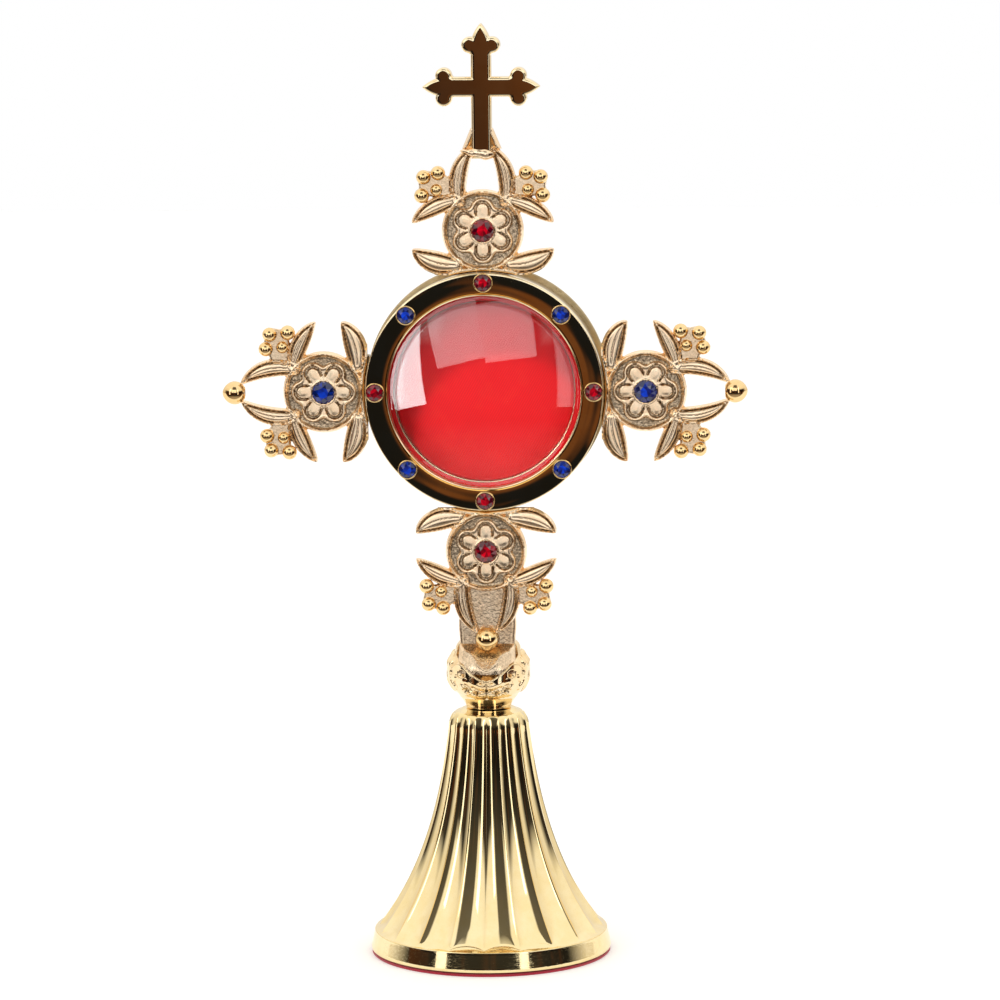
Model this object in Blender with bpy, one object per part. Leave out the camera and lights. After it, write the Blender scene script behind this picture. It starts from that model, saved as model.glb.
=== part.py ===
"""A small gilt monstrance: a fluted bell foot, a scrolled knop, and a cross-shaped head that carries
a round glazed case lined in red, with a hinged door at its back.

Metres, +Z up. The origin is the centre of the foot's underside. The front of the head faces -Y.
"""

import math

import bmesh
import bpy
from mathutils import Matrix, Vector

# ---------------------------------------------------------------- driving dimensions, metres
GAP = 0.0003  # left between pieces that touch
HEAD_Z = 0.122  # height of the centre of the head
TOTAL_H = 0.200

# Foot
FOOT_R = 0.0260
FOOT_BAND_TOP_R = 0.0251
FOOT_BAND_TOP_Z = 0.0051
FOOT_TOP_Z = 0.0533
SHOULDER_RISE = 0.4  # how much the shoulder above the band climbs for each unit inwards
BELL_LOW_Z = 0.0058
BELL_HIGH_Z = 0.0490
BELL_CORE_R = 0.0057  # the bell narrows towards this radius
BELL_FLARE_R = 0.0183  # how far it stands out from that at its foot
BELL_DECAY = 0.0238  # height in which the flare shrinks to 1/e
FLUTES = 20
FLUTE_DEPTH = 0.052  # share of the bell's radius
FELT_T = 0.0005
BOARD_T = 0.0018
WALL = 0.0012

# Tie that clamps the foot to the knop
STUD_R = 0.0025
STUD_LOW_Z = 0.0420
STUD_HIGH_Z = 0.0640
NUT_FLATS = 0.0080

# Knop and tongue
COLLAR_R = 0.00495
KNOP_R = 0.0090
TONGUE_W = 0.0120
TONGUE_FRONT_Y = -0.0023
TONGUE_BACK_Y = 0.0014
SLOPE_TOP_Z = 0.0655  # the knop's front slopes down from the tongue, clear of the lower arm's ball
SLOPE_TILT = math.radians(27)

# Head: front ring, arms
RING_R = 0.0254
RING_HOLE_R = 0.0209
RING_FRONT_Y = -0.0050
RING_BACK_Y = -0.0028
RING_STONES = 8
RING_STONE_PITCH_R = 0.0233
RING_STONE_R = 0.00185
FLOWER_STONE_R = 0.0023
MEDAL_X = 0.0343  # from the head's centre to a flower's centre
MEDAL_R = 0.00865
ARM_BACK_Y = -0.0026
LEAF_FRONT_Y = -0.0044
MEDAL_FRONT_Y = -0.0048
BALL_R = 0.0016
SMALL_BALL_R = 0.0013
DROP_X = 0.0533
DROP_HALF_LENGTH = 0.00285
DROP_HALF_WIDTH = 0.0025

# Finial cross
CROSS_LOW_Z = HEAD_Z + DROP_X + DROP_HALF_LENGTH + GAP
CROSS_BAR_Z = 0.1866
CROSS_HALF_SPAN = 0.0125
CROSS_STEM_HALF = 0.0021
CROSS_FRONT_Y = -0.0047
CROSS_BACK_Y = -0.0025
CROSS_BEVEL = 0.0007

# Case, glass and door
CRYSTAL_R = 0.0206
CRYSTAL_T = 0.0012
DOME_R = 0.01975
DOME_H = 0.0040
BEZEL_HOLE_R = 0.02005
CASE_R = 0.0250
CASE_HOLE_R = 0.0199
CASE_FRONT_Y = -0.0025
CASE_BACK_Y = 0.0075
DOOR_R = 0.02605
DOOR_T = 0.0018
DOOR_BOSS_R = 0.0228
PAD_R = 0.0222
HINGE_X = -0.0274
KNUCKLE_R = 0.0013
KNUCKLE_BORE_R = 0.00075
PIN_R = 0.00055
DOOR_KNUCKLE_HALF = 0.0030
CASE_KNUCKLE_END = 0.0070
LATCH_X = 0.0286
KNOB_X = 0.0150

DOOR_FRONT_Y = CASE_BACK_Y + GAP
DOOR_BACK_Y = DOOR_FRONT_Y + DOOR_T
HINGE_Y = DOOR_BACK_Y + GAP + 0.0008 - KNUCKLE_R
HEAD_CENTRE = Vector((0, 0, HEAD_Z))


# ---------------------------------------------------------------- tools
def clear_scene():
    for obj in list(bpy.data.objects):
        bpy.data.objects.remove(obj)


def material(name, colour, roughness, metallic=0.0):
    """A Principled material, made once for each name."""
    made = bpy.data.materials.get(name)
    if made is None:
        made = bpy.data.materials.new(name)
        made.use_nodes = True
        shader = made.node_tree.nodes["Principled BSDF"]
        shader.inputs["Base Color"].default_value = (*colour, 1.0)
        shader.inputs["Roughness"].default_value = roughness
        shader.inputs["Metallic"].default_value = metallic
    return made


def gilt(name="gilt_polished", roughness=0.12):
    return material(name, (0.83, 0.62, 0.32), roughness, 1.0)


def place(name, bm, finish, location=(0, 0, 0), turn_y=0.0, smooth_angle=40):
    """Makes a scene object of a bmesh."""
    bmesh.ops.recalc_face_normals(bm, faces=bm.faces)
    mesh = bpy.data.meshes.new(name)
    bm.to_mesh(mesh)
    bm.free()
    mesh.shade_smooth()
    mesh.set_sharp_from_angle(angle=math.radians(smooth_angle))
    mesh.materials.append(finish)
    return place_mesh(name, mesh, location, turn_y)


def place_mesh(name, mesh, location=(0, 0, 0), turn_y=0.0):
    obj = bpy.data.objects.new(name, mesh)
    obj.location = location
    obj.rotation_euler = (0, turn_y, 0)
    bpy.context.scene.collection.objects.link(obj)
    return obj


def turned(profile, steps):
    """A solid turned about Z from a closed (radius, height) outline. Points at radius 0 become poles."""
    bm = bmesh.new()
    ring = [bm.verts.new((r, 0, z)) for r, z in profile]
    edges = [bm.edges.new((ring[i], ring[(i + 1) % len(ring)])) for i in range(len(ring))]
    on_axis = [e for e in edges if all(v.co.x < 1e-9 for v in e.verts)]
    for edge in on_axis:
        edges.remove(edge)
        bm.edges.remove(edge)
    bmesh.ops.spin(
        bm,
        geom=ring + edges,
        angle=math.tau,
        steps=steps,
        axis=(0, 0, 1),
        cent=(0, 0, 0),
        use_merge=True,
    )
    bmesh.ops.remove_doubles(bm, verts=bm.verts, dist=1e-7)
    return bm


def turned_about_y(profile, steps):
    """The same for (radius, y) outlines of the round pieces whose axis is the head's own, along Y."""
    bm = turned([(r, -y) for r, y in profile], steps)
    bmesh.ops.rotate(bm, verts=bm.verts, cent=(0, 0, 0), matrix=Matrix.Rotation(math.pi / 2, 3, "X"))
    return bm


def plate(outline, front_y, back_y):
    """A flat piece: a closed (x, z) outline with thickness along Y."""
    bm = bmesh.new()
    face = bm.faces.new([bm.verts.new((x, front_y, z)) for x, z in outline])
    moved = bmesh.ops.extrude_face_region(bm, geom=[face])["geom"]
    verts = [g for g in moved if isinstance(g, bmesh.types.BMVert)]
    bmesh.ops.translate(bm, verts=verts, vec=(0, back_y - front_y, 0))
    return bm


def arc(centre, radius, start_deg, end_deg, steps):
    """Points along a circle in the plane of the outline, both ends included."""
    angles = [math.radians(start_deg + (end_deg - start_deg) * i / steps) for i in range(steps + 1)]
    return [(centre[0] + radius * math.cos(a), centre[1] + radius * math.sin(a)) for a in angles]


def circle(centre, radius, steps):
    return arc(centre, radius, 0, 360, steps)[:-1]


def ball(centre, radii, flat_y, segments, rings):
    """An ellipsoid with its back flattened at flat_y."""
    bm = bmesh.new()
    bmesh.ops.create_uvsphere(bm, u_segments=segments, v_segments=rings, radius=1.0)
    bmesh.ops.rotate(bm, verts=bm.verts, cent=(0, 0, 0), matrix=Matrix.Rotation(math.pi / 2, 3, "X"))
    for vert in bm.verts:
        vert.co = Vector([c + r * x for c, r, x in zip(centre, radii, vert.co)])
        vert.co.y = min(vert.co.y, flat_y)
    return bm


def rod(radius, low, high, steps, axis="Z", centre=(0, 0, 0)):
    """A plain cylinder from low to high along an axis."""
    bm = bmesh.new()
    bmesh.ops.create_cone(
        bm, cap_ends=True, segments=steps, radius1=radius, radius2=radius, depth=high - low
    )
    bmesh.ops.translate(bm, verts=bm.verts, vec=(0, 0, (low + high) / 2))
    if axis == "Y":
        bmesh.ops.rotate(
            bm, verts=bm.verts, cent=(0, 0, 0), matrix=Matrix.Rotation(-math.pi / 2, 3, "X")
        )
    bmesh.ops.translate(bm, verts=bm.verts, vec=centre)
    return bm


def block(low, high):
    """A box between two corners."""
    bm = bmesh.new()
    size = Vector(high) - Vector(low)
    bmesh.ops.create_cube(bm, size=1.0)
    bmesh.ops.scale(bm, verts=bm.verts, vec=size)
    bmesh.ops.translate(bm, verts=bm.verts, vec=(Vector(low) + Vector(high)) / 2)
    return bm


def combined(name, base, others, operation):
    """The mesh that a Boolean of bmeshes leaves. The helpers are removed again."""
    helpers = bpy.data.collections.new(name + "_helpers")
    bpy.context.scene.collection.children.link(helpers)
    for index, bm in enumerate(others):
        bmesh.ops.recalc_face_normals(bm, faces=bm.faces)
        mesh = bpy.data.meshes.new(f"{name}_helper_{index}")
        bm.to_mesh(mesh)
        bm.free()
        helpers.objects.link(bpy.data.objects.new(mesh.name, mesh))
    target = place(name + "_raw", base, gilt())
    cut = target.modifiers.new("Boolean", "BOOLEAN")
    cut.operand_type = "COLLECTION"
    cut.collection = helpers
    cut.operation = operation
    cut.solver = "EXACT"
    graph = bpy.context.evaluated_depsgraph_get()
    mesh = bpy.data.meshes.new_from_object(target.evaluated_get(graph))
    for obj in [target, *helpers.objects]:
        bpy.data.objects.remove(obj)
    bpy.data.collections.remove(helpers)
    bm = bmesh.new()
    bm.from_mesh(mesh)
    bpy.data.meshes.remove(mesh)
    return bm


def joined(name, base, *others):
    return combined(name, base, others, "UNION")


def without(name, base, *cutters):
    return combined(name, base, cutters, "DIFFERENCE")


# ---------------------------------------------------------------- foot
def bell_radius(z):
    """The bell's radius at its ridges."""
    return BELL_CORE_R + BELL_FLARE_R * math.exp(-(z - BELL_LOW_Z) / BELL_DECAY)


def foot_shell():
    """The fluted bell, hollow from below, with a hole for the stud in its crown."""
    points_per_flute = 3
    around = FLUTES * points_per_flute
    rows = []  # each a function of the flute depth 0..1 at that azimuth, giving (radius, z)

    def fluted(z, fade):
        def row(depth):
            return bell_radius(z) * (1 - FLUTE_DEPTH * fade * depth), z
        return row

    def flute_foot(depth):
        radius = bell_radius(BELL_LOW_Z) * (1 - FLUTE_DEPTH * depth)
        return radius, FOOT_BAND_TOP_Z + SHOULDER_RISE * (FOOT_BAND_TOP_R - radius)

    def plain(radius, z):
        return lambda depth: (radius, z)

    underside = FELT_T + GAP
    recess_top = underside + BOARD_T + 2 * GAP
    board_r = FOOT_BAND_TOP_R - WALL
    stud_hole = STUD_R + GAP
    crown_under = FOOT_TOP_Z - 0.0030
    rows += [plain(stud_hole, FOOT_TOP_Z), plain(COLLAR_R + 0.0007, FOOT_TOP_Z)]
    rows += [plain(0.0070, 0.0529), plain(0.0079, 0.0520), fluted(0.0505, 0.0), fluted(BELL_HIGH_Z, 0.7)]
    steps = 6
    for i in range(1, steps):
        share = i / steps
        rows.append(fluted(BELL_HIGH_Z + (BELL_LOW_Z - BELL_HIGH_Z) * share, 1.0))
    rows += [flute_foot, plain(FOOT_BAND_TOP_R, FOOT_BAND_TOP_Z), plain(FOOT_R, underside + 0.0006)]
    rows += [plain(FOOT_R - 0.0004, underside), plain(board_r, underside), plain(board_r, recess_top)]
    for share in (0.08, 0.3, 0.65):
        z = recess_top + (crown_under - recess_top) * share
        rows.append(plain(bell_radius(z) * (1 - FLUTE_DEPTH) - WALL, z))
    rows += [plain(0.0058, crown_under), plain(stud_hole, crown_under)]

    bm = bmesh.new()
    grid = []
    for row in rows:
        ring = []
        for k in range(around):
            across = (k % points_per_flute) / points_per_flute
            radius, z = row(1 - (2 * across - 1) ** 2)
            angle = math.tau * k / around
            ring.append(bm.verts.new((radius * math.cos(angle), radius * math.sin(angle), z)))
        grid.append(ring)
    for i, ring in enumerate(grid):
        below = grid[(i + 1) % len(grid)]
        for k in range(around):
            n = (k + 1) % around
            bm.faces.new((ring[k], ring[n], below[n], below[k]))
    place("base_shell", bm, gilt(), smooth_angle=25)


def foot_bottom():
    low = FELT_T + GAP
    board_r = FOOT_BAND_TOP_R - WALL - GAP
    board = rod(board_r, low, low + BOARD_T, 32)
    place("base_board", board, material("fibreboard", (0.45, 0.36, 0.26), 0.9))
    felt = rod(FOOT_R - 0.0002, 0.0, FELT_T, 40)
    place("base_felt", felt, material("red_felt", (0.55, 0.02, 0.04), 0.95))


def tie():
    """Stud, washer and nut that clamp the foot up against the knop."""
    steel = material("tie_steel", (0.55, 0.55, 0.56), 0.35, 1.0)
    crown_under = FOOT_TOP_Z - 0.0030
    washer_top = crown_under - GAP
    washer_t = 0.0010
    washer = turned(
        [
            (STUD_R + GAP, washer_top - washer_t),
            (0.0052, washer_top - washer_t),
            (0.0052, washer_top),
            (STUD_R + GAP, washer_top),
        ],
        24,
    )
    place("tie_washer", washer, steel)
    nut_top = washer_top - washer_t - GAP
    nut_low = nut_top - 0.0038
    corner = NUT_FLATS / math.sqrt(3)
    nut = without(
        "tie_nut",
        rod(corner, nut_low, nut_top, 6),
        rod(STUD_R + GAP, nut_low - 0.001, nut_top + 0.001, 18),
    )
    place("tie_nut", nut, steel)
    place("tie_stud", rod(STUD_R, STUD_LOW_Z, STUD_HIGH_Z, 18), steel)


# ---------------------------------------------------------------- knop and tongue
def knop():
    """The round knop with its collar, the neck, and the tongue that stands behind the lower arm."""
    low = FOOT_TOP_Z + GAP
    profile = [
        (0, low),
        (COLLAR_R, low),
        (COLLAR_R + 0.0001, low + 0.0012),
        (0.0060, 0.0566),
        (0.0074, 0.0580),
        (0.0085, 0.0597),
        (KNOP_R, 0.0618),
        (KNOP_R, 0.0636),
        (0.0083, 0.0655),
        (0.0070, 0.0672),
        (0.0058, 0.0682),
        (0, 0.0686),
    ]
    body = turned(profile, 24)
    scrolls = []
    for side in (-1, 1):
        for deg in (60, 120):
            angle = math.radians(deg) * side
            centre = Vector((math.cos(angle) * 0.0070, math.sin(angle) * 0.0070, 0.0612))
            scrolls.append(ball(centre, (0.0026, 0.0026, 0.0030), 1.0, 8, 6))
    half = TONGUE_W / 2
    saddle = [
        (math.sin(math.radians(a)) * (CASE_R + GAP), HEAD_Z - math.cos(math.radians(a)) * (CASE_R + GAP))
        for a in (12, 8, 4, 0, -4, -8, -12)
    ]
    outline = [(-half, 0.0655), (half, 0.0655), (half, saddle[0][1]), *saddle, (-half, saddle[-1][1])]
    tongue = plate(outline, TONGUE_FRONT_Y, TONGUE_BACK_Y)
    neck = block((-half + 0.0006, TONGUE_FRONT_Y + 0.0004, 0.0640), (half - 0.0006, 0.0042, 0.0765))
    for vert in neck.verts:
        if vert.co.y > 0 and vert.co.z > 0.07:
            vert.co.y = TONGUE_BACK_Y - 0.0004
    solid = joined("knop", body, tongue, neck, *scrolls)
    bore = rod(STUD_R + GAP, low - 0.001, STUD_HIGH_Z + GAP, 18)
    slope = block((-0.02, -0.02, 0.0), (0.02, 0.012, 0.02))
    bmesh.ops.rotate(slope, verts=slope.verts, cent=(0, 0, 0), matrix=Matrix.Rotation(SLOPE_TILT, 3, "X"))
    bmesh.ops.translate(slope, verts=slope.verts, vec=(0, TONGUE_FRONT_Y, SLOPE_TOP_Z))
    keep_tongue = block((-0.03, TONGUE_FRONT_Y, 0.04), (0.03, 0.03, 0.11))
    front_cut = without("knop_slope", slope, keep_tongue)
    place("stem_knop", without("knop_bored", solid, bore, front_cut), gilt("gilt_cast", 0.2))


# ---------------------------------------------------------------- head
def ring_stone_angles():
    return [math.tau * i / RING_STONES for i in range(RING_STONES)]


def front_ring():
    """The flat polished ring, with eight blind sockets for its stones."""
    bevel = 0.0008
    profile = [
        (RING_HOLE_R, RING_BACK_Y),
        (RING_HOLE_R, RING_FRONT_Y),
        (RING_R - bevel, RING_FRONT_Y),
        (RING_R, RING_FRONT_Y + bevel),
        (RING_R, RING_BACK_Y),
    ]
    ring = turned_about_y(profile, 48)
    socket_floor = RING_FRONT_Y + 0.0010
    sockets = [
        rod(
            RING_STONE_R + 0.0001,
            RING_FRONT_Y - 0.001,
            socket_floor,
            8,
            "Y",
            (math.cos(a) * RING_STONE_PITCH_R, 0, math.sin(a) * RING_STONE_PITCH_R),
        )
        for a in ring_stone_angles()
    ]
    solid = without("ring", ring, *sockets)
    place("front_ring", solid, gilt("gilt_mirror", 0.05), HEAD_CENTRE)


def leaf(start, bend, tip, half_width, front_y):
    """A pointed leaf along a curved midrib, with a roof-shaped front and a flat back."""
    start, bend, tip = (Vector(p) for p in (start, bend, tip))
    stations = 4
    bm = bmesh.new()
    rows = []
    for i in range(stations + 1):
        t = i / stations
        centre = start * (1 - t) ** 2 + bend * 2 * t * (1 - t) + tip * t**2
        along = ((bend - start) * (1 - t) + (tip - bend) * t).normalized()
        side = Vector((-along.y, along.x))
        width = half_width * (math.sin(math.pi * min(0.985, 0.22 + 0.78 * t)) ** 0.8)
        edge_y = ARM_BACK_Y + 0.45 * (front_y - ARM_BACK_Y)
        row = [(-1, ARM_BACK_Y), (-1, edge_y), (0, front_y), (1, edge_y), (1, ARM_BACK_Y)]
        rows.append(
            [bm.verts.new((centre.x + side.x * width * s, y, centre.y + side.y * width * s)) for s, y in row]
        )
    for a, b in zip(rows, rows[1:]):
        for k in range(5):
            n = (k + 1) % 5
            bm.faces.new((a[k], a[n], b[n], b[k]))
    bm.faces.new(rows[0])
    bm.faces.new(rows[-1][::-1])
    return bm


def sheath():
    """The plate that closes the top arm's end, where the finial is soldered on."""
    tip = DROP_X + DROP_HALF_LENGTH
    half = [(tip - 0.0062, 0.0046), (tip - 0.0035, 0.0034), (tip, CROSS_STEM_HALF)]
    return plate([(x, -z) for x, z in half] + half[::-1], LEAF_FRONT_Y, ARM_BACK_Y)


def arm_mesh(with_sheath=False):
    """One arm of the cross, lying along +X from the head's centre: foot, flower medallion, six leaves,
    two clusters of berries and the end drop."""
    foot_in = RING_R + GAP
    foot_out = foot_in + 0.0013
    foot = arc((0, 0), foot_in, -24, 24, 6) + arc((0, 0), foot_out, 24, -24, 6)
    pieces = [plate(foot, LEAF_FRONT_Y, ARM_BACK_Y)]
    for side in (-1, 1):
        inner = leaf((0.0263, 0.0045 * side), (0.0268, 0.0115 * side), (0.0303, 0.0152 * side), 0.0024, LEAF_FRONT_Y)
        outer = leaf((0.0398, 0.0058 * side), (0.0402, 0.0128 * side), (0.0354, 0.0154 * side), 0.0016, LEAF_FRONT_Y)
        prong = leaf((0.0405, 0.0052 * side), (0.0478, 0.0052 * side), (0.0520, 0.0016 * side), 0.0018, LEAF_FRONT_Y)
        bed = [(0.0405, 0.0068), (0.0400, 0.0120), (0.0420, 0.0142), (0.0462, 0.0138), (0.0480, 0.0090), (0.0460, 0.0058)]
        pieces += [inner, outer, prong]
        pieces.append(plate([(x, z * side) for x, z in bed], ARM_BACK_Y - 0.0008, ARM_BACK_Y))
        for x, z, radius in (
            (0.0465, 0.0091, BALL_R),
            (0.0455, 0.01245, BALL_R),
            (0.0418, 0.01285, BALL_R),
            (0.0431, 0.0097, SMALL_BALL_R),
        ):
            centre = (x, ARM_BACK_Y - 0.0013, z * side)
            pieces.append(ball(centre, (radius, radius, radius), ARM_BACK_Y, 8, 5))
    drop = (DROP_HALF_LENGTH, 0.0023, DROP_HALF_WIDTH)
    pieces.append(ball((DROP_X, ARM_BACK_Y - 0.0010, 0), drop, ARM_BACK_Y, 10, 7))
    petals = 6
    for i in range(petals):
        angle = math.tau * i / petals
        centre = (MEDAL_X + 0.0044 * math.cos(angle), 0.0044 * math.sin(angle))
        pieces.append(plate(circle(centre, 0.0018, 8), MEDAL_FRONT_Y - 0.0005, ARM_BACK_Y - 0.0003))
    disc = plate(circle((MEDAL_X, 0), MEDAL_R, 28), MEDAL_FRONT_Y, ARM_BACK_Y)
    centre_boss = rod(FLOWER_STONE_R + 0.0005, MEDAL_FRONT_Y - 0.0010, ARM_BACK_Y - 0.0003, 14, "Y", (MEDAL_X, 0, 0))
    if with_sheath:
        pieces.append(sheath())
    solid = joined("arm", disc, centre_boss, *pieces)
    socket = rod(
        FLOWER_STONE_R + 0.0001, MEDAL_FRONT_Y - 0.003, MEDAL_FRONT_Y + 0.0001, 12, "Y", (MEDAL_X, 0, 0)
    )
    ring_space = rod(foot_in, ARM_BACK_Y - 0.006, ARM_BACK_Y + 0.001, 48, "Y")
    return without("arm_socketed", solid, socket, ring_space)


ARM_TURNS = {"right": 0.0, "top": -math.pi / 2, "left": math.pi, "bottom": math.pi / 2}


def arms():
    cast = gilt("gilt_cast", 0.2)
    first = place("arm_right", arm_mesh(), cast, HEAD_CENTRE)
    place("arm_top", arm_mesh(with_sheath=True), cast, HEAD_CENTRE, ARM_TURNS["top"])
    for name in ("left", "bottom"):
        place_mesh("arm_" + name, first.data, HEAD_CENTRE, ARM_TURNS[name])


def stone_mesh(radius):
    """A round flat-backed stone: a sloping crown with eight facets and a flat table."""
    profile = [(0, 0.0), (radius, 0.0), (radius, -0.0003), (radius * 0.55, -0.0011), (0, -0.0011)]
    return turned_about_y(profile, 8)


def stones():
    ruby = material("ruby_glass", (0.45, 0.0, 0.02), 0.05)
    sapphire = material("sapphire_glass", (0.01, 0.03, 0.35), 0.05)
    for index, angle in enumerate(ring_stone_angles()):
        spot = HEAD_CENTRE + Vector(
            (math.cos(angle) * RING_STONE_PITCH_R, 0, math.sin(angle) * RING_STONE_PITCH_R)
        )
        spot.y = RING_FRONT_Y + 0.0010 - GAP
        finish = ruby if index % 2 == 0 else sapphire
        place(f"ring_stone_{index + 1}", stone_mesh(RING_STONE_R - 0.0002), finish, spot)
    for name, turn in ARM_TURNS.items():
        spot = HEAD_CENTRE + Vector((math.cos(turn), 0, -math.sin(turn))) * MEDAL_X
        spot.y = MEDAL_FRONT_Y + 0.0001 - GAP
        finish = ruby if name in ("top", "bottom") else sapphire
        place(f"flower_stone_{name}", stone_mesh(FLOWER_STONE_R - 0.0002), finish, spot)


def budded_end(reach, half):
    """Outline of one end of the cross, along +X from its bar of half-width half: two side buds
    and a longer one at the tip, both sides."""
    bud_x = reach - 0.0046
    side = [(bud_x - 0.0030, half), (bud_x - 0.0016, half + 0.0006)]
    side += arc((bud_x, half + 0.0004), 0.0015, 150, 10, 5)
    side += [(bud_x + 0.0022, half - 0.0001)]
    tip = arc((reach - 0.0014, 0), 0.0014, 60, 0, 3)
    upper = side + tip
    return upper + [(x, -z) for x, z in reversed(upper[:-1])]


def finial():
    """The budded cross with chamfered edges, and the tang behind it that holds it on the upper drop."""
    half = CROSS_STEM_HALF
    outline = []
    top_reach = TOTAL_H - CROSS_BAR_Z
    for turn, reach in ((0, CROSS_HALF_SPAN), (90, top_reach), (180, CROSS_HALF_SPAN)):
        c, s = math.cos(math.radians(turn)), math.sin(math.radians(turn))
        end = reversed(budded_end(reach, half))
        outline += [(c * x - s * z, s * x + c * z + CROSS_BAR_Z) for x, z in end]
        if turn < 180:
            outline.append((half * (1 if turn == 0 else -1), CROSS_BAR_Z + half))
    outline += [(-half, CROSS_BAR_Z - half), (-half, CROSS_LOW_Z), (half, CROSS_LOW_Z), (half, CROSS_BAR_Z - half)]
    cross = plate(outline, CROSS_FRONT_Y, CROSS_BACK_Y)
    front = [f for f in cross.faces if all(v.co.y < CROSS_FRONT_Y + 1e-6 for v in f.verts)]
    bmesh.ops.inset_region(cross, faces=front, thickness=CROSS_BEVEL * 0.7, depth=0)
    rim = [v for v in cross.verts if v.co.y < CROSS_FRONT_Y + 1e-6]
    inner = {v for f in front for v in f.verts}
    for vert in rim:
        if vert not in inner:
            vert.co.y += CROSS_BEVEL
    tang = plate(
        [(-0.0048, 0.1715), (0.0048, 0.1715), (half, 0.1790), (half, 0.1815), (-half, 0.1815), (-half, 0.1790)],
        TONGUE_FRONT_Y,
        TONGUE_FRONT_Y + 0.0012,
    )
    bridge = block(
        (-half + 0.0003, CROSS_BACK_Y - 0.0002, CROSS_LOW_Z + 0.0002),
        (half - 0.0003, TONGUE_FRONT_Y + 0.0006, 0.1810),
    )
    place("finial_cross", joined("finial", cross, tang, bridge), gilt("gilt_mirror", 0.05))


# ---------------------------------------------------------------- case, glass and door
def dome_y(radius, sphere_r, apex_y):
    """Y of a forward-bulging sphere of sphere_r with its apex at apex_y, at a distance from its axis."""
    return apex_y + sphere_r - math.sqrt(sphere_r**2 - radius**2)


def crystal_and_bezel():
    flange_front = RING_FRONT_Y + 0.0008
    flange_back = flange_front + 0.0011
    apex = flange_front - DOME_H
    sphere = (DOME_R**2 + DOME_H**2) / (2 * DOME_H)
    steps = 3
    outer = [DOME_R * i / steps for i in range(steps + 1)]
    inner_r = DOME_R - 0.0014
    inner = [inner_r * (steps - i) / steps for i in range(steps + 1)]
    profile = [(r, dome_y(r, sphere, apex)) for r in outer]
    profile += [(CRYSTAL_R, flange_front), (CRYSTAL_R, flange_back), (inner_r, flange_back)]
    profile += [(r, dome_y(r, sphere - CRYSTAL_T, apex + CRYSTAL_T)) for r in inner]
    glass = material("clear_glass", (0.95, 0.97, 0.97), 0.02)
    place("crystal", turned_about_y(profile, 36), glass, HEAD_CENTRE)
    front = RING_FRONT_Y - 0.0005
    bezel = [
        (BEZEL_HOLE_R, flange_front - GAP),
        (BEZEL_HOLE_R, front),
        (RING_HOLE_R - GAP, front),
        (RING_HOLE_R - GAP, flange_front - GAP),
    ]
    place("crystal_bezel", turned_about_y(bezel, 36), gilt(), HEAD_CENTRE)


def case_cup():
    wall_in = CASE_R - WALL
    flange_back = CASE_FRONT_Y + 0.0010
    profile = [
        (CASE_HOLE_R, CASE_FRONT_Y),
        (CASE_R, CASE_FRONT_Y),
        (CASE_R, CASE_BACK_Y),
        (wall_in, CASE_BACK_Y),
        (wall_in, flange_back),
        (CASE_HOLE_R, flange_back),
    ]
    place("case_cup", turned_about_y(profile, 40), gilt("gilt_brushed", 0.3), HEAD_CENTRE)
    lining_out = wall_in - GAP
    lining = [
        (lining_out - 0.0003, flange_back + GAP),
        (lining_out, flange_back + GAP),
        (lining_out, CASE_BACK_Y - GAP),
        (lining_out - 0.0003, CASE_BACK_Y - GAP),
    ]
    satin = material("red_satin", (0.62, 0.01, 0.02), 0.45)
    place("case_lining", turned_about_y(lining, 32), satin, HEAD_CENTRE)


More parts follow.
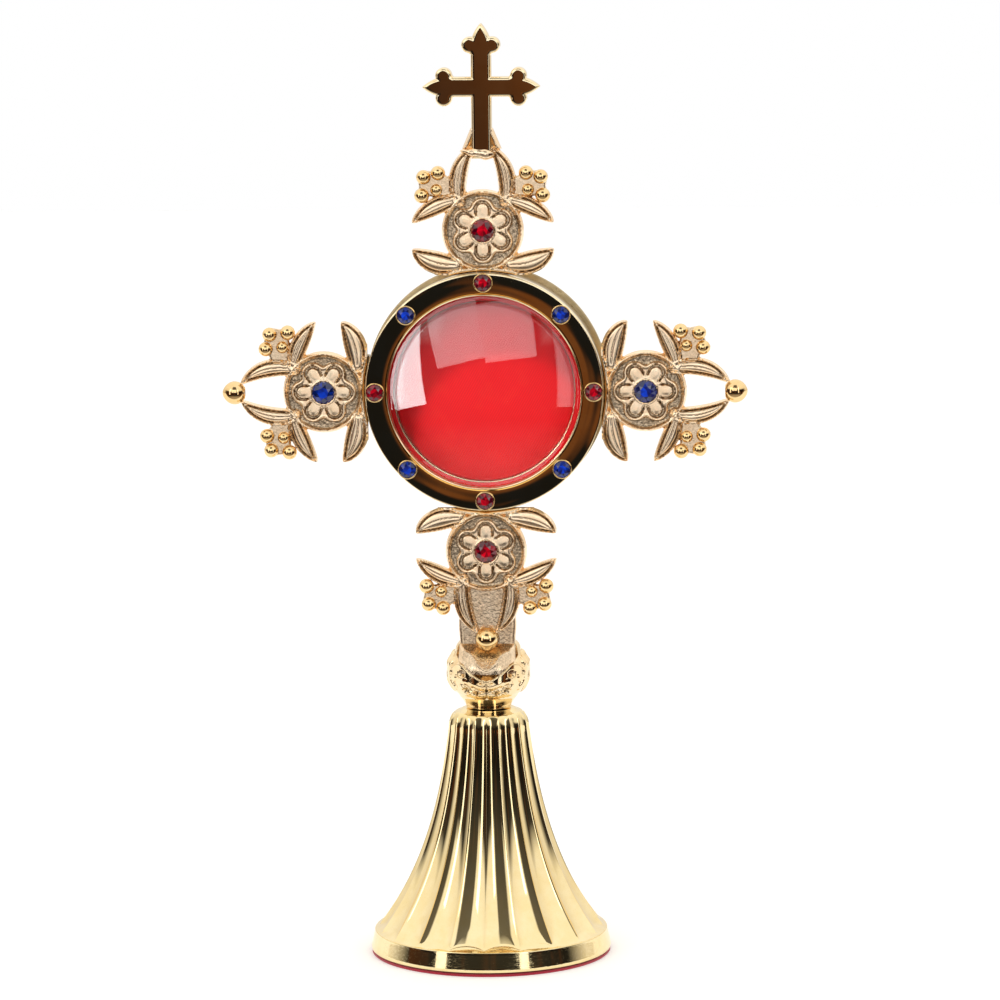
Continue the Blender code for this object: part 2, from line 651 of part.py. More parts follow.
def door():
    """The door, modelled about its hinge so that its origin lies on the pin."""
    hinge = Vector((HINGE_X, HINGE_Y, HEAD_Z))
    hub = HEAD_CENTRE - hinge
    boss_y = DOOR_FRONT_Y - 0.0012
    edge = 0.0005
    profile = [
        (0, boss_y),
        (DOOR_BOSS_R, boss_y),
        (DOOR_BOSS_R, DOOR_FRONT_Y),
        (DOOR_R - edge, DOOR_FRONT_Y),
        (DOOR_R, DOOR_FRONT_Y + edge),
        (DOOR_R, DOOR_BACK_Y - edge),
        (DOOR_R - edge, DOOR_BACK_Y),
        (0.0165, DOOR_BACK_Y),
        (0.0160, DOOR_BACK_Y + 0.0004),
        (0.0112, DOOR_BACK_Y + 0.0006),
        (0.0108, DOOR_BACK_Y + 0.0002),
        (0, DOOR_BACK_Y + 0.0003),
    ]
    mount = bpy.data.objects.new("door_hinge_axis", None)
    mount.location = hinge
    bpy.context.scene.collection.objects.link(mount)

    def on_door(name, bm, finish):
        bmesh.ops.translate(bm, verts=bm.verts, vec=hub)
        place(name, bm, finish).parent = mount

    on_door("back_door", turned_about_y(profile, 40), gilt("gilt_brushed", 0.3))
    board_back = boss_y - GAP
    board_front = board_back - 0.0013
    board = turned_about_y(
        [(0, board_front), (PAD_R + 0.0002, board_front), (PAD_R + 0.0002, board_back), (0, board_back)], 28
    )
    on_door("pad_board", board, material("fibreboard", (0.45, 0.36, 0.26), 0.9))
    pad_back = board_front - GAP
    pad = turned_about_y(
        [
            (0, pad_back),
            (0, pad_back - 0.0024),
            (PAD_R * 0.5, pad_back - 0.0022),
            (PAD_R * 0.85, pad_back - 0.0015),
            (PAD_R, pad_back - 0.0006),
            (PAD_R, pad_back),
        ],
        28,
    )
    on_door("display_pad", pad, material("red_satin", (0.62, 0.01, 0.02), 0.45))
    seat = DOOR_BACK_Y + 0.0006 + GAP
    knob = turned_about_y(
        [
            (0, seat),
            (0.0016, seat),
            (0.0010, seat + 0.0010),
            (0.0010, seat + 0.0018),
            (0.0021, seat + 0.0026),
            (0.0023, seat + 0.0036),
            (0.0016, seat + 0.0046),
            (0, seat + 0.0049),
        ],
        16,
    )
    bmesh.ops.translate(knob, verts=knob.verts, vec=(KNOB_X, 0, 0))
    on_door("door_knob", knob, gilt())
    return mount


def knuckle(low, high):
    return rod(KNUCKLE_R, low, high, 16)


def hinge(mount):
    """Two leaves and a pin. The mount's origin is the middle of the pin."""
    bore = rod(KNUCKLE_BORE_R, -0.010, 0.010, 16)
    plate_front = DOOR_BACK_Y + GAP - HINGE_Y
    strap = block((0.0, plate_front, -DOOR_KNUCKLE_HALF + GAP), (0.0085, KNUCKLE_R, DOOR_KNUCKLE_HALF - GAP))
    door_leaf = joined("door_leaf", knuckle(-DOOR_KNUCKLE_HALF, DOOR_KNUCKLE_HALF), strap)
    finish = gilt("gilt_brushed", 0.3)
    place("door_hinge_leaf", without("door_leaf_bored", door_leaf, bore), finish).parent = mount

    low = DOOR_KNUCKLE_HALF + GAP
    high = CASE_KNUCKLE_END
    wall_x = -(CASE_R + GAP) - HINGE_X
    plate_back = CASE_BACK_Y - HINGE_Y
    leaf_plate = block((wall_x - 0.0008, plate_back - 0.0060, -high), (wall_x, plate_back, high))
    links = [
        block((-0.0006, plate_back - 0.0008, low), (0.0011, 0, high)),
        block((-0.0006, plate_back - 0.0008, -high), (0.0011, 0, -low)),
    ]
    bridge = block((-0.0006, plate_back - 0.0010, -high), (wall_x, plate_back - 0.0002, high))
    case_leaf = joined("case_leaf", leaf_plate, bridge, *links, knuckle(low, high), knuckle(-high, -low))
    bore = rod(KNUCKLE_BORE_R, -0.010, 0.010, 16)
    place("case_hinge_leaf", without("case_leaf_bored", case_leaf, bore), finish, mount.location)

    head = CASE_KNUCKLE_END + GAP
    pin = turned(
        [
            (0, -head - 0.0008),
            (0.0006, -head - 0.0008),
            (0.0010, -head - 0.0004),
            (0.0010, -head),
            (PIN_R, -head),
            (PIN_R, head),
            (0.0010, head),
            (0.0010, head + 0.0004),
            (0.0006, head + 0.0008),
            (0, head + 0.0008),
        ],
        14,
    )
    place("hinge_pin", pin, gilt(), mount.location)


def latch():
    """A turn button on a post beside the case. At rest it points up, clear of the door."""
    centre = Vector((LATCH_X, 0, HEAD_Z))
    button_front = DOOR_BACK_Y + GAP
    button_back = button_front + 0.0011
    post_top = button_front - GAP
    post = rod(0.0015, CASE_FRONT_Y + 0.0055, post_top, 16, "Y")
    wall_x = CASE_R + GAP - LATCH_X
    web = block((wall_x, CASE_FRONT_Y + 0.0055, -0.0016), (0, CASE_BACK_Y - 0.0008, 0.0016))
    screw_hole = rod(0.0009, post_top - 0.0030, post_top + 0.001, 12, "Y")
    solid = without("post", joined("post_web", post, web), screw_hole)
    place("latch_post", solid, gilt("gilt_brushed", 0.3), centre)

    tab = [(-0.0015, 0.0), (-0.0015, 0.0045), *arc((0, 0.0045), 0.0015, 150, 30, 4), (0.0015, 0.0045), (0.0015, 0.0)]
    pivot = rod(0.0019, button_front, button_back, 18, "Y")
    button = joined("button", pivot, plate(tab, button_front + 0.0001, button_back - 0.0001))
    hole = rod(0.0009, button_front - 0.001, button_back + 0.001, 12, "Y")
    place("latch_button", without("button_bored", button, hole), gilt(), centre)

    head_front = button_back + GAP
    screw = turned_about_y(
        [
            (0, post_top - 0.0027),
            (0.0006, post_top - 0.0027),
            (0.0006, head_front),
            (0.0014, head_front),
            (0.0014, head_front + 0.0005),
            (0.0009, head_front + 0.0009),
            (0, head_front + 0.0010),
        ],
        12,
    )
    place("latch_screw", screw, material("tie_steel", (0.55, 0.55, 0.56), 0.35, 1.0), centre)


def main():
    clear_scene()
    foot_shell()
    foot_bottom()
    tie()
    knop()
    front_ring()
    arms()
    stones()
    finial()
    crystal_and_bezel()
    case_cup()
    mount = door()
    hinge(mount)
    latch()


main()
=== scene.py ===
"""The looks of a small gilt monstrance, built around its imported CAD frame: cast openwork arms, a
mirror-polished ring and finial, faceted stones, a domed crystal over red satin, and a fluted foot.

+Z up, the front faces -Y. Shapes are worked out in millimetres, and piece() scales them to metres.
"""

import math

import bmesh
import bpy
import numpy as np
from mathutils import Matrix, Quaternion, Vector


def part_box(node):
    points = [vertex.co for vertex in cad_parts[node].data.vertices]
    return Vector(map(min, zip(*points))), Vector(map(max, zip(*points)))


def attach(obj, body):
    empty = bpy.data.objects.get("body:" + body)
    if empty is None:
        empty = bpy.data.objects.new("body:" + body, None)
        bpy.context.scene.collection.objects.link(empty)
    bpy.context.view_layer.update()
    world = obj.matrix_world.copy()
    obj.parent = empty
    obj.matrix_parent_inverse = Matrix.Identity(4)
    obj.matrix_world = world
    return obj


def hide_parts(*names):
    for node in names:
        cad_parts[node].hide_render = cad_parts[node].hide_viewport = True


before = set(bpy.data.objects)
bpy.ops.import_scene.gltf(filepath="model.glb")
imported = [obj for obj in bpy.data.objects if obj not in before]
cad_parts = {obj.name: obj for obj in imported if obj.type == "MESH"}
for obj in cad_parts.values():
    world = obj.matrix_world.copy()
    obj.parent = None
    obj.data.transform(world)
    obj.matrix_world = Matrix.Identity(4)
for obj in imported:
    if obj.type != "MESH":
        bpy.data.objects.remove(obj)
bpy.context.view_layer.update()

MM = 0.001
ROOT, DOOR = "monstrance", "door"
FINISHES = {}  # materials by name


def sides(node):
    """The low and high corners of a CAD node's box, in millimetres."""
    low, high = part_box(node)
    return Vector(low) / MM, Vector(high) / MM


# Places and sizes taken from the frame
RING_LOW, RING_HIGH = sides("front_ring")
RING_R, RING_FRONT, RING_BACK = RING_HIGH.x, RING_LOW.y, RING_HIGH.y
HEAD = (RING_LOW + RING_HIGH) / 2
HEAD.x = 0.0
ARM_TIP, ARM_BACK, _ = sides("arm_right")[1]  # the tip is as far from the head's centre
KNOP_R = sides("stem_knop")[1].x


# --- camera, light and floor
def set_camera():
    """In front, a little to the right and above, with the slight roll of a hand-set camera."""
    data = bpy.data.cameras.new("camera")
    data.lens = 161.3
    data.clip_start = 0.01
    camera = bpy.data.objects.new("camera", data)
    bpy.context.scene.collection.objects.link(camera)
    camera.location = (0.0580, -0.9482, 0.2298)
    aim = Vector((0.0029, -0.0003, 0.0983))
    camera.rotation_mode = "QUATERNION"
    look = (aim - camera.location).to_track_quat("-Z", "Y")
    camera.rotation_quaternion = look @ Quaternion((0, 0, 1), math.radians(-0.6))
    bpy.context.scene.camera = camera


LAMP_DISTANCE = 1.6
LAMPS = {  # azimuth, elevation, width and height in degrees, brightness, roll in degrees
    "softbox_far_left": (-46, 12, 11, 46, 5.0, 0),
    "softbox_left": (-17.5, 20, 23, 28, 4.0, 0),
    "softbox_middle": (8, 20, 24, 28, 4.0, 0),
    "cast_far_left": (-46, 12, 11, 46, 2.5, 0),
    "cast_left": (-17.5, 20, 23, 28, 3.0, 0),
    "cast_middle": (8, 20, 24, 28, 3.0, 0),
    "cast_front": (-2, -4, 34, 22, 2.7, 0),
    "glass_far_left": (-42, 10, 17, 46, 26, 10),
    "glass_left": (-17.5, 21, 23, 28, 7.5, 16),
    "glass_middle": (8, 23, 24, 28, 6.5, 6),
    "softbox_right": (35, 10, 9, 46, 5.0, 0),
    "satin_fill": (0, 35, 40, 30, 0.25, 0),
    "key_lamp": (-30, 57, 5, 5, 1300, 0),
}
CASTINGS = ("arm_right_casting", "arm_top_casting", "arm_left_casting", "arm_bottom_casting",
            "stem_tongue", "arm_top_solder")
SATIN = ("satin_pad", "case_satin_lining")
LIT_BY = {  # the pieces that some lamps are kept to, as flags and snoots would
    "cast_far_left": CASTINGS,
    "cast_left": CASTINGS,
    "cast_middle": CASTINGS,
    "cast_front": CASTINGS + ("knop_scrolls",),
    "satin_fill": SATIN,
    "glass_left": ("crystal_dome",),
    "glass_middle": ("crystal_dome",),
    "glass_far_left": ("crystal_dome",),
    "key_lamp": SATIN,
}


def hang_lamp(name, azimuth, elevation, width, height, power, roll):
    """A rectangular lamp facing the head. Azimuth 0 is in front, positive to the right."""
    data = bpy.data.lights.new(name, "AREA")
    data.shape = "RECTANGLE"
    data.size = 2 * LAMP_DISTANCE * math.tan(math.radians(width / 2))
    data.size_y = 2 * LAMP_DISTANCE * math.tan(math.radians(height / 2))
    data.energy = power * data.size * data.size_y
    lamp = bpy.data.objects.new(name, data)
    az, el = math.radians(azimuth), math.radians(elevation)
    away = Vector((math.sin(az) * math.cos(el), -math.cos(az) * math.cos(el), math.sin(el)))
    lamp.location = HEAD * MM + away * LAMP_DISTANCE
    lamp.rotation_mode = "QUATERNION"
    turn = Quaternion((0, 0, 1), math.radians(roll))
    lamp.rotation_quaternion = (-away).to_track_quat("-Z", "Y") @ turn
    lamp.visible_camera = False
    bpy.context.scene.collection.objects.link(lamp)


def hang_tent():
    """A pale tent that is open, and so dark, in front; straight behind the object it shows white."""
    world = bpy.data.worlds.new("tent")
    bpy.context.scene.world = world
    world.use_nodes = True
    tree = world.node_tree
    tree.nodes.clear()
    add = NodeMaker(tree)
    way = add("ShaderNodeTexCoord").outputs["Generated"]
    axes = add("ShaderNodeSeparateXYZ", Vector=way)
    azimuth = add.math("ARCTAN2", axes.outputs["X"], add.math("MULTIPLY", axes.outputs["Y"], -1.0))
    off_front = add.math("DIVIDE", add.math("ABSOLUTE", azimuth), math.pi)
    height = add.math("MULTIPLY_ADD", axes.outputs["Z"], 0.5)
    height.node.inputs[2].default_value = 0.5
    # A wide opening up to a little above the head, and a narrow one that goes on to the top
    low_side = add.ramp(off_front, [(0.46, 1.0), (0.60, 0.0)])
    low_height = add.ramp(height, [(0.16, 0.45), (0.34, 1.0), (0.62, 1.0), (0.67, 0.0)])
    slit_side = add.ramp(off_front, [(0.125, 1.0), (0.155, 0.0)])
    slit_height = add.ramp(height, [(0.16, 0.45), (0.34, 1.0), (0.93, 1.0), (0.96, 0.0)])
    wide, narrow = add.math("MULTIPLY", low_side, low_height), add.math("MULTIPLY", slit_side, slit_height)
    open_front = add.math("MAXIMUM", wide, narrow)
    # The dark room beyond, with a few warm things near the horizon and haze overhead
    patch = add.ramp(add.noise(way, 5.0, 2.0), [(0.52, 0.0), (0.60, 1.0)])
    warm = add.math("MULTIPLY", patch, add.ramp(height, [(0.48, 1.0), (0.56, 0.25)]))
    room = add.mix(warm, (0.010, 0.010, 0.010), (0.15, 0.055, 0.018))
    room = add.mix(add.ramp(height, [(0.55, 0.0), (0.9, 1.0)]), room, (0.16, 0.15, 0.13))
    tent = add.mix(add.ramp(height, [(0.45, 0.0), (0.8, 1.0)]), (0.80, 0.74, 0.66), (1.12, 1.10, 1.05))
    lit = add("ShaderNodeBackground", Color=add.mix(open_front, tent, room), Strength=1.0)
    white = add("ShaderNodeBackground", Color=(1, 1, 1, 1), Strength=1.0)
    both = add("ShaderNodeMixShader", Fac=add("ShaderNodeLightPath").outputs["Is Camera Ray"])
    tree.links.new(lit.outputs[0], both.inputs[1])
    tree.links.new(white.outputs[0], both.inputs[2])
    tree.links.new(both.outputs[0], add("ShaderNodeOutputWorld").inputs["Surface"])


def flag_lamps():
    """Keeps the middle softboxes off the foot and the crystal, and the lamps in LIT_BY to their pieces."""
    shown = [o for o in bpy.context.scene.objects if o.type == "MESH"]
    rest = [o.name for o in shown if o.name not in ("foot_bell", "base_shell", "crystal_dome")]
    for lamp, names in {**LIT_BY, "softbox_left": rest, "softbox_middle": rest}.items():
        lit = bpy.data.collections.new(f"lit_by_{lamp}")
        for obj in shown:
            if obj.name in names:
                lit.objects.link(obj)
        bpy.data.objects[lamp].light_linking.receiver_collection = lit


def lay_floor():
    """A white sheet that ends a short way in front of the object."""
    near, far, side = -0.08, 2.2, 1.8
    mesh = bpy.data.meshes.new("floor")
    corners = [(-side, near, 0), (side, near, 0), (side, far, 0), (-side, far, 0)]
    mesh.from_pydata(corners, [], [(0, 1, 2, 3)])
    floor = bpy.data.objects.new("floor", mesh)
    bpy.context.scene.collection.objects.link(floor)
    material, add, shader = new_material("white_paper", (0.93, 0.93, 0.93), 0.9)
    grain = add.noise(add.object_place(), 40.0, 2.0)
    add.link(add.mix(grain, (0.92, 0.92, 0.92), (0.94, 0.94, 0.94)), shader, "Base Color")
    shader.inputs["Emission Color"].default_value = (1, 1, 1, 1)
    shader.inputs["Emission Strength"].default_value = 0.2
    mesh.materials.append(material)


# --- node helpers
class NodeMaker:
    """Short calls for shader nodes. Inputs are given by socket name."""

    def __init__(self, tree):
        self.tree = tree

    def __call__(self, kind, **inputs):
        node = self.tree.nodes.new(kind)
        for name, value in inputs.items():
            self.link(value, node, name.replace("_", " "))
        return node

    def link(self, value, node, socket):
        if isinstance(value, bpy.types.NodeSocket):
            self.tree.links.new(value, node.inputs[socket])
        else:
            node.inputs[socket].default_value = value

    def math(self, operation, first, second=0.0):
        node = self.tree.nodes.new("ShaderNodeMath")
        node.operation = operation
        self.link(first, node, 0)
        self.link(second, node, 1)
        return node.outputs[0]

    def ramp(self, value, stops):
        """Grey levels by position."""
        node = self.tree.nodes.new("ShaderNodeValToRGB")
        self.link(value, node, "Fac")
        band = node.color_ramp.elements
        while len(band) < len(stops):
            band.new(0.5)
        for element, (place, level) in zip(band, stops):
            element.position = place
            element.color = (level, level, level, 1)
        return node.outputs["Color"]

    def mix(self, share, first, second):
        """Colour from first to second."""
        node = self.tree.nodes.new("ShaderNodeMix")
        node.data_type = "RGBA"
        self.link(share, node, 0)
        for value, socket in ((first, 6), (second, 7)):
            colour = value if isinstance(value, bpy.types.NodeSocket) else (*value[:3], 1.0)
            self.link(colour, node, socket)
        return node.outputs[2]

    def noise(self, place, scale, detail, roughness=0.5):
        node = self("ShaderNodeTexNoise", Vector=place, Scale=scale, Detail=detail, Roughness=roughness)
        return node.outputs["Fac"]

    def attribute(self, name):
        node = self("ShaderNodeAttribute")
        node.attribute_name = name
        return node.outputs["Fac"]

    def object_place(self, scale=(1, 1, 1), turn=(0, 0, 0)):
        place = self("ShaderNodeTexCoord").outputs["Object"]
        if tuple(scale) == (1, 1, 1) and tuple(turn) == (0, 0, 0):
            return place
        return self("ShaderNodeMapping", Vector=place, Scale=scale, Rotation=turn).outputs[0]

    def bump(self, height, strength, distance, under=None):
        node = self("ShaderNodeBump", Height=height, Strength=strength, Distance=distance)
        if under is not None:
            self.link(under, node, "Normal")
        return node.outputs["Normal"]

    def roughen(self, shader, value, low, high, start=0.0, end=1.0):
        """Roughness from low to high as the value goes from start to end."""
        node = self("ShaderNodeMapRange", Value=value, From_Min=start, From_Max=end, To_Min=low, To_Max=high)
        self.link(node.outputs[0], shader, "Roughness")


def new_material(name, colour, roughness, metallic=0.0):
    material = bpy.data.materials.new(name)
    material.use_nodes = True
    shader = material.node_tree.nodes["Principled BSDF"]
    shader.inputs["Base Color"].default_value = (*colour, 1.0)
    shader.inputs["Roughness"].default_value = roughness
    shader.inputs["Metallic"].default_value = metallic
    return material, NodeMaker(material.node_tree), shader


# --- materials
SAND_DEPTH = 0.00014  # metres, as bump distances are
SCRATCH_DEPTH = 0.00002
TWILL_PITCH = 0.00047


def gilt(name, light, deep, rough, dent=0.0, scratch=0.0, shade_and_patina=None, scratched_below=None):
    """Gold plate. light and deep are its colour's two ends, dent is a slow waviness, scratch fine lines,
    and the last colour is painted dark into hollows where the mesh says so: painted shade, with some patina."""
    material, add, shader = new_material(name, light, rough[0], 1.0)
    place = add.object_place()
    cloud = add.noise(place, 260.0, 4.0, 0.6)
    colour = add.mix(add.ramp(cloud, [(0.35, 0.0), (0.7, 1.0)]), light, deep)
    # Painted shade with some patina: where the mesh marks a hollow, the colour goes mottled toward the dark
    # hollow colour.
    if shade_and_patina is not None:
        hollow = add.attribute("hollow")
        grain = add.ramp(add.noise(place, 1900.0, 3.0, 0.7), [(0.35, 0.3), (0.62, 1.0)])
        colour = add.mix(add.math("MULTIPLY", hollow, grain), colour, shade_and_patina)
    add.link(colour, shader, "Base Color")
    add.roughen(shader, add.noise(place, 420.0, 3.0, 0.55), *rough)
    normal = None
    if dent:
        normal = add.bump(add.noise(place, 130.0, 1.0, 0.4), 1.0, dent)
    if shade_and_patina is not None:
        sandy = add.ramp(hollow, [(0.0, 0.05), (0.8, 1.0)])
        depth = add.math("MULTIPLY", add.noise(place, 1700.0, 2.0, 0.6), sandy)
        normal = add.bump(depth, 1.0, SAND_DEPTH, normal)
    if scratch:
        for turn in (0.5, 2.2):
            fine = add.object_place((900, 900, 9000), (0.3, turn, turn))
            line = add.ramp(add.noise(fine, 1.0, 1.0), [(0.60, 0.0), (0.66, 1.0)])
            if scratched_below is not None:
                up = add("ShaderNodeSeparateXYZ", Vector=place).outputs["Z"]
                level = add.math("DIVIDE", up, scratched_below * 2)
                line = add.math("MULTIPLY", line, add.ramp(level, [(0.49, 1.0), (0.52, 0.03)]))
            normal = add.bump(line, scratch, SCRATCH_DEPTH, normal)
    if normal is not None:
        add.link(normal, shader, "Normal")
    return material


def satin(name, light, deep):
    """Woven satin with a fine diagonal twill."""
    material, add, shader = new_material(name, light, 0.5)
    slant = add.object_place(turn=(0, math.radians(-30), 0))
    density = math.tau / TWILL_PITCH / 20
    wave = add("ShaderNodeTexWave", Vector=slant, Scale=density, Distortion=0.6, Detail=1.0)
    wave.bands_direction = "X"
    twill = wave.outputs["Fac"]
    cloud = add.noise(add.object_place(), 90.0, 3.0)
    shade = add.math("ADD", add.math("MULTIPLY", twill, 0.45), add.math("MULTIPLY", cloud, 0.35))
    add.link(add.mix(shade, deep, light), shader, "Base Color")
    add.roughen(shader, twill, 0.42, 0.55)
    shader.inputs["Specular IOR Level"].default_value = 0.25
    shader.inputs["Sheen Weight"].default_value = 0.1
    shader.inputs["Sheen Roughness"].default_value = 0.35
    shader.inputs["Sheen Tint"].default_value = (1.0, 0.25, 0.2, 1.0)
    add.link(add.bump(twill, 0.5, 0.00003), shader, "Normal")
    return material


def felt(name, colour):
    material, add, shader = new_material(name, colour, 0.95)
    fuzz = add.noise(add.object_place(), 2500.0, 4.0, 0.7)
    dark = tuple(c * 0.6 for c in colour)
    add.link(add.mix(fuzz, dark, colour), shader, "Base Color")
    add.link(add.bump(fuzz, 0.8, 0.0002), shader, "Normal")
    shader.inputs["Sheen Weight"].default_value = 0.4
    return material


def board(name):
    material, add, shader = new_material(name, (0.45, 0.36, 0.26), 0.9)
    fibre = add.noise(add.object_place((1, 1, 3)), 1400.0, 5.0, 0.7)
    add.link(add.mix(fibre, (0.30, 0.23, 0.16), (0.56, 0.46, 0.34)), shader, "Base Color")
    add.link(add.bump(fibre, 0.5, 0.0001), shader, "Normal")
    return material


def steel(name):
    material, add, shader = new_material(name, (0.56, 0.56, 0.57), 0.3, 1.0)
    brushed = add.noise(add.object_place((1, 1, 12)), 700.0, 3.0)
    add.link(add.mix(brushed, (0.42, 0.42, 0.43), (0.66, 0.66, 0.67)), shader, "Base Color")
    add.roughen(shader, brushed, 0.22, 0.45)
    return material


def crystal_glass(name):
    """Clear glass that lets the lamps through to what lies behind it."""
    material, add, shader = new_material(name, (0.985, 0.99, 0.99), 0.0)
    shader.inputs["Transmission Weight"].default_value = 1.0
    shader.inputs["IOR"].default_value = 1.5
    add.roughen(shader, add.noise(add.object_place(), 120.0, 3.0), 0.0, 0.01, 0.4, 0.8)
    through = add("ShaderNodeBsdfTransparent")
    mixed = add("ShaderNodeMixShader", Fac=add("ShaderNodeLightPath").outputs["Is Shadow Ray"])
    tree = material.node_tree
    tree.links.new(shader.outputs[0], mixed.inputs[1])
    tree.links.new(through.outputs[0], mixed.inputs[2])
    tree.links.new(mixed.outputs[0], tree.nodes["Material Output"].inputs["Surface"])
    return material


def gem(name, dark, bright):
    """Foiled glass with painted light: each facet is given its own brightness, the bright facets being
    painted glints of light inside the stone, with a faint painted glow.
    """
    material, add, shader = new_material(name, dark, 0.03)
    glow = add.ramp(add.noise(add.object_place(), 900.0, 1.0), [(0.3, 0.6), (0.7, 1.0)])
    # Painted glints: the facet share takes each facet from the dark colour toward the bright one.
    colour = add.mix(add.math("MULTIPLY", add.attribute("facet"), glow), dark, bright)
    add.link(colour, shader, "Base Color")
    shader.inputs["IOR"].default_value = 1.62
    shader.inputs["Coat Weight"].default_value = 0.25
    shader.inputs["Coat Roughness"].default_value = 0.02
    # Painted glow: the stone gives off a little of its facet colour though it is no lamp.
    add.link(colour, shader, "Emission Color")
    shader.inputs["Emission Strength"].default_value = 0.3
    return material


# --- mesh helpers
def piece(name, points, faces, slot, look=None, body=ROOT, instead=(), smooth=35.0, hollow=None):
    """A mesh object from points in millimetres. It rides on a body, stands for the CAD nodes named in
    instead, and has the finish of its slot unless look names another."""
    mesh = bpy.data.meshes.new(name)
    mesh.from_pydata([tuple(c * MM for c in p) for p in points], [], [tuple(f) for f in faces])
    mesh.validate()
    bm = bmesh.new()
    bm.from_mesh(mesh)
    bmesh.ops.recalc_face_normals(bm, faces=bm.faces)
    bm.to_mesh(mesh)
    bm.free()
    mesh.shade_smooth()
    if smooth < 180:
        mesh.set_sharp_from_angle(angle=math.radians(smooth))
    mesh.materials.append(FINISHES[look or slot])
    # The hollow share darkens gilts that have a hollow colour, as painted shade with some patina, and
    # roughens them with sand.
    if hollow is not None:
        levels = mesh.attributes.new("hollow", "FLOAT", "POINT")
        levels.data.foreach_set("value", np.asarray(hollow, np.float32))
    obj = bpy.data.objects.new(name, mesh)
    bpy.context.scene.collection.objects.link(obj)
    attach(obj, body)
    if instead:
        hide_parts(*instead)
    return obj


def grid_faces(rows, columns):
    """Quads between rings of points. Which way they face is left to piece()."""
    faces = []
    for i in range(rows - 1):
        a, b = i * columns, (i + 1) * columns
        for k in range(columns):
            n = (k + 1) % columns
            faces.append((a + k, a + n, b + n, b + k))
    return faces


def rounded(outline, radius, steps=4):
    """An open outline with its inner corners rounded."""
    points = [Vector(p) for p in outline]
    out = [points[0]]
    for before, corner, after in zip(points, points[1:], points[2:]):
        reach = min(radius, (before - corner).length * 0.45, (after - corner).length * 0.45)
        start = corner + (before - corner).normalized() * reach
        end = corner + (after - corner).normalized() * reach
        for i in range(steps + 1):
            t = i / steps
            out.append(start * (1 - t) ** 2 + corner * 2 * t * (1 - t) + end * t**2)
    out.append(points[-1])
    return [tuple(p) for p in out]


def turned(outline, steps, axis="Y", centre=(0, 0, 0)):
    """Points and faces of a lathe shape from (radius, place along the axis) pairs."""
    points = []
    for radius, along in outline:
        for k in range(steps):
            a = math.tau * k / steps
            x, y = radius * math.cos(a), radius * math.sin(a)
            points.append(Vector((x, y, along) if axis == "Z" else (x, along, y)) + Vector(centre))
    return points, grid_faces(len(outline), steps)


def head_piece(name, outline, steps, slot, **rest):
    """A piece turned about the head's own axis."""
    return piece(name, *turned(outline, steps, "Y", (0, 0, HEAD.z)), slot, **rest)


def unit_ball(around, rows):
    """Points and faces of a ball of radius 1 whose poles are on Y."""
    halves = [math.pi * i / rows for i in range(rows + 1)]
    return turned([(math.sin(a), -math.cos(a)) for a in halves], around)


def gathered(parts):
    """Several (points, faces) as one."""
    points, faces = [], []
    for some, their in parts:
        start = len(points)
        points.extend(some)
        faces.extend(tuple(start + i for i in face) for face in their)
    return points, faces


# --- relief shapes, in millimetres
def hump(x, width):
    return np.exp(-((x / width) ** 2))


def step(x, low, high):
    t = np.clip((x - low) / (high - low), 0, 1)
    return t * t * (3 - 2 * t)


def dome(depth, radius):
    """Height share of a rounded edge at a depth inside it."""
    t = 1 - np.clip(depth / radius, 0, 1)
    return np.sqrt(np.clip(1 - t * t, 0, 1))


def blended_least(a, b, reach=0.5):
    h = np.clip(0.5 + 0.5 * (b - a) / reach, 0, 1)
    return b * (1 - h) + a * h - reach * h * (1 - h)


def beside(u, v, base, bend, tip, pieces=22):
    """Share along a curve with those three control points, and signed distance to it."""
    t = np.linspace(0, 1, pieces + 1)[:, None]
    line = np.array(base) * (1 - t) ** 2 + np.array(bend) * 2 * t * (1 - t) + np.array(tip) * t**2
    best = np.full(u.shape, 1e9)
    share = np.zeros(u.shape)
    signed = np.zeros(u.shape)
    for i in range(pieces):
        (ax, ay), (bx, by) = line[i], line[i + 1]
        dx, dy = bx - ax, by - ay
        along = np.clip(((u - ax) * dx + (v - ay) * dy) / (dx * dx + dy * dy), 0, 1)
        ox, oy = u - ax - along * dx, v - ay - along * dy
        gap = np.hypot(ox, oy)
        near = gap < best
        best = np.where(near, gap, best)
        share = np.where(near, (i + along) / pieces, share)
        signed = np.where(near, np.sign(dx * oy - dy * ox) * gap, signed)
    return share, signed


def leaf(u, v, base, bend, tip, half, foot=0.22):
    """Outline distance, height and hollow share of a pointed leaf with a raised edge and midrib."""
    share, off = beside(u, v, base, bend, tip)
    width = half * np.sin(math.pi * np.clip(foot + (1 - foot) * share, 0, 1)) ** 0.62
    outside = np.abs(off) - width
    depth = -outside
    border = hump(depth - 0.30, 0.24)
    crease = hump(depth - 0.80, 0.15) * step(width, 0.8, 1.2) * step(share, 0.03, 0.12)
    belly = dome(np.clip(depth - 0.8, 0, None), np.maximum(width - 0.8, 0.2)) * (depth > 0.8)
    rib = hump(off, 0.13)
    rise = 1.15 + 0.50 * border - 0.50 * crease + 0.42 * belly - 0.16 * rib * belly
    hollow = np.clip(crease * 1.2 + 0.25 * rib * belly, 0, 1) * (depth > 0)
    return outside, np.where(depth > 0, rise * dome(depth, 0.38), 0), hollow


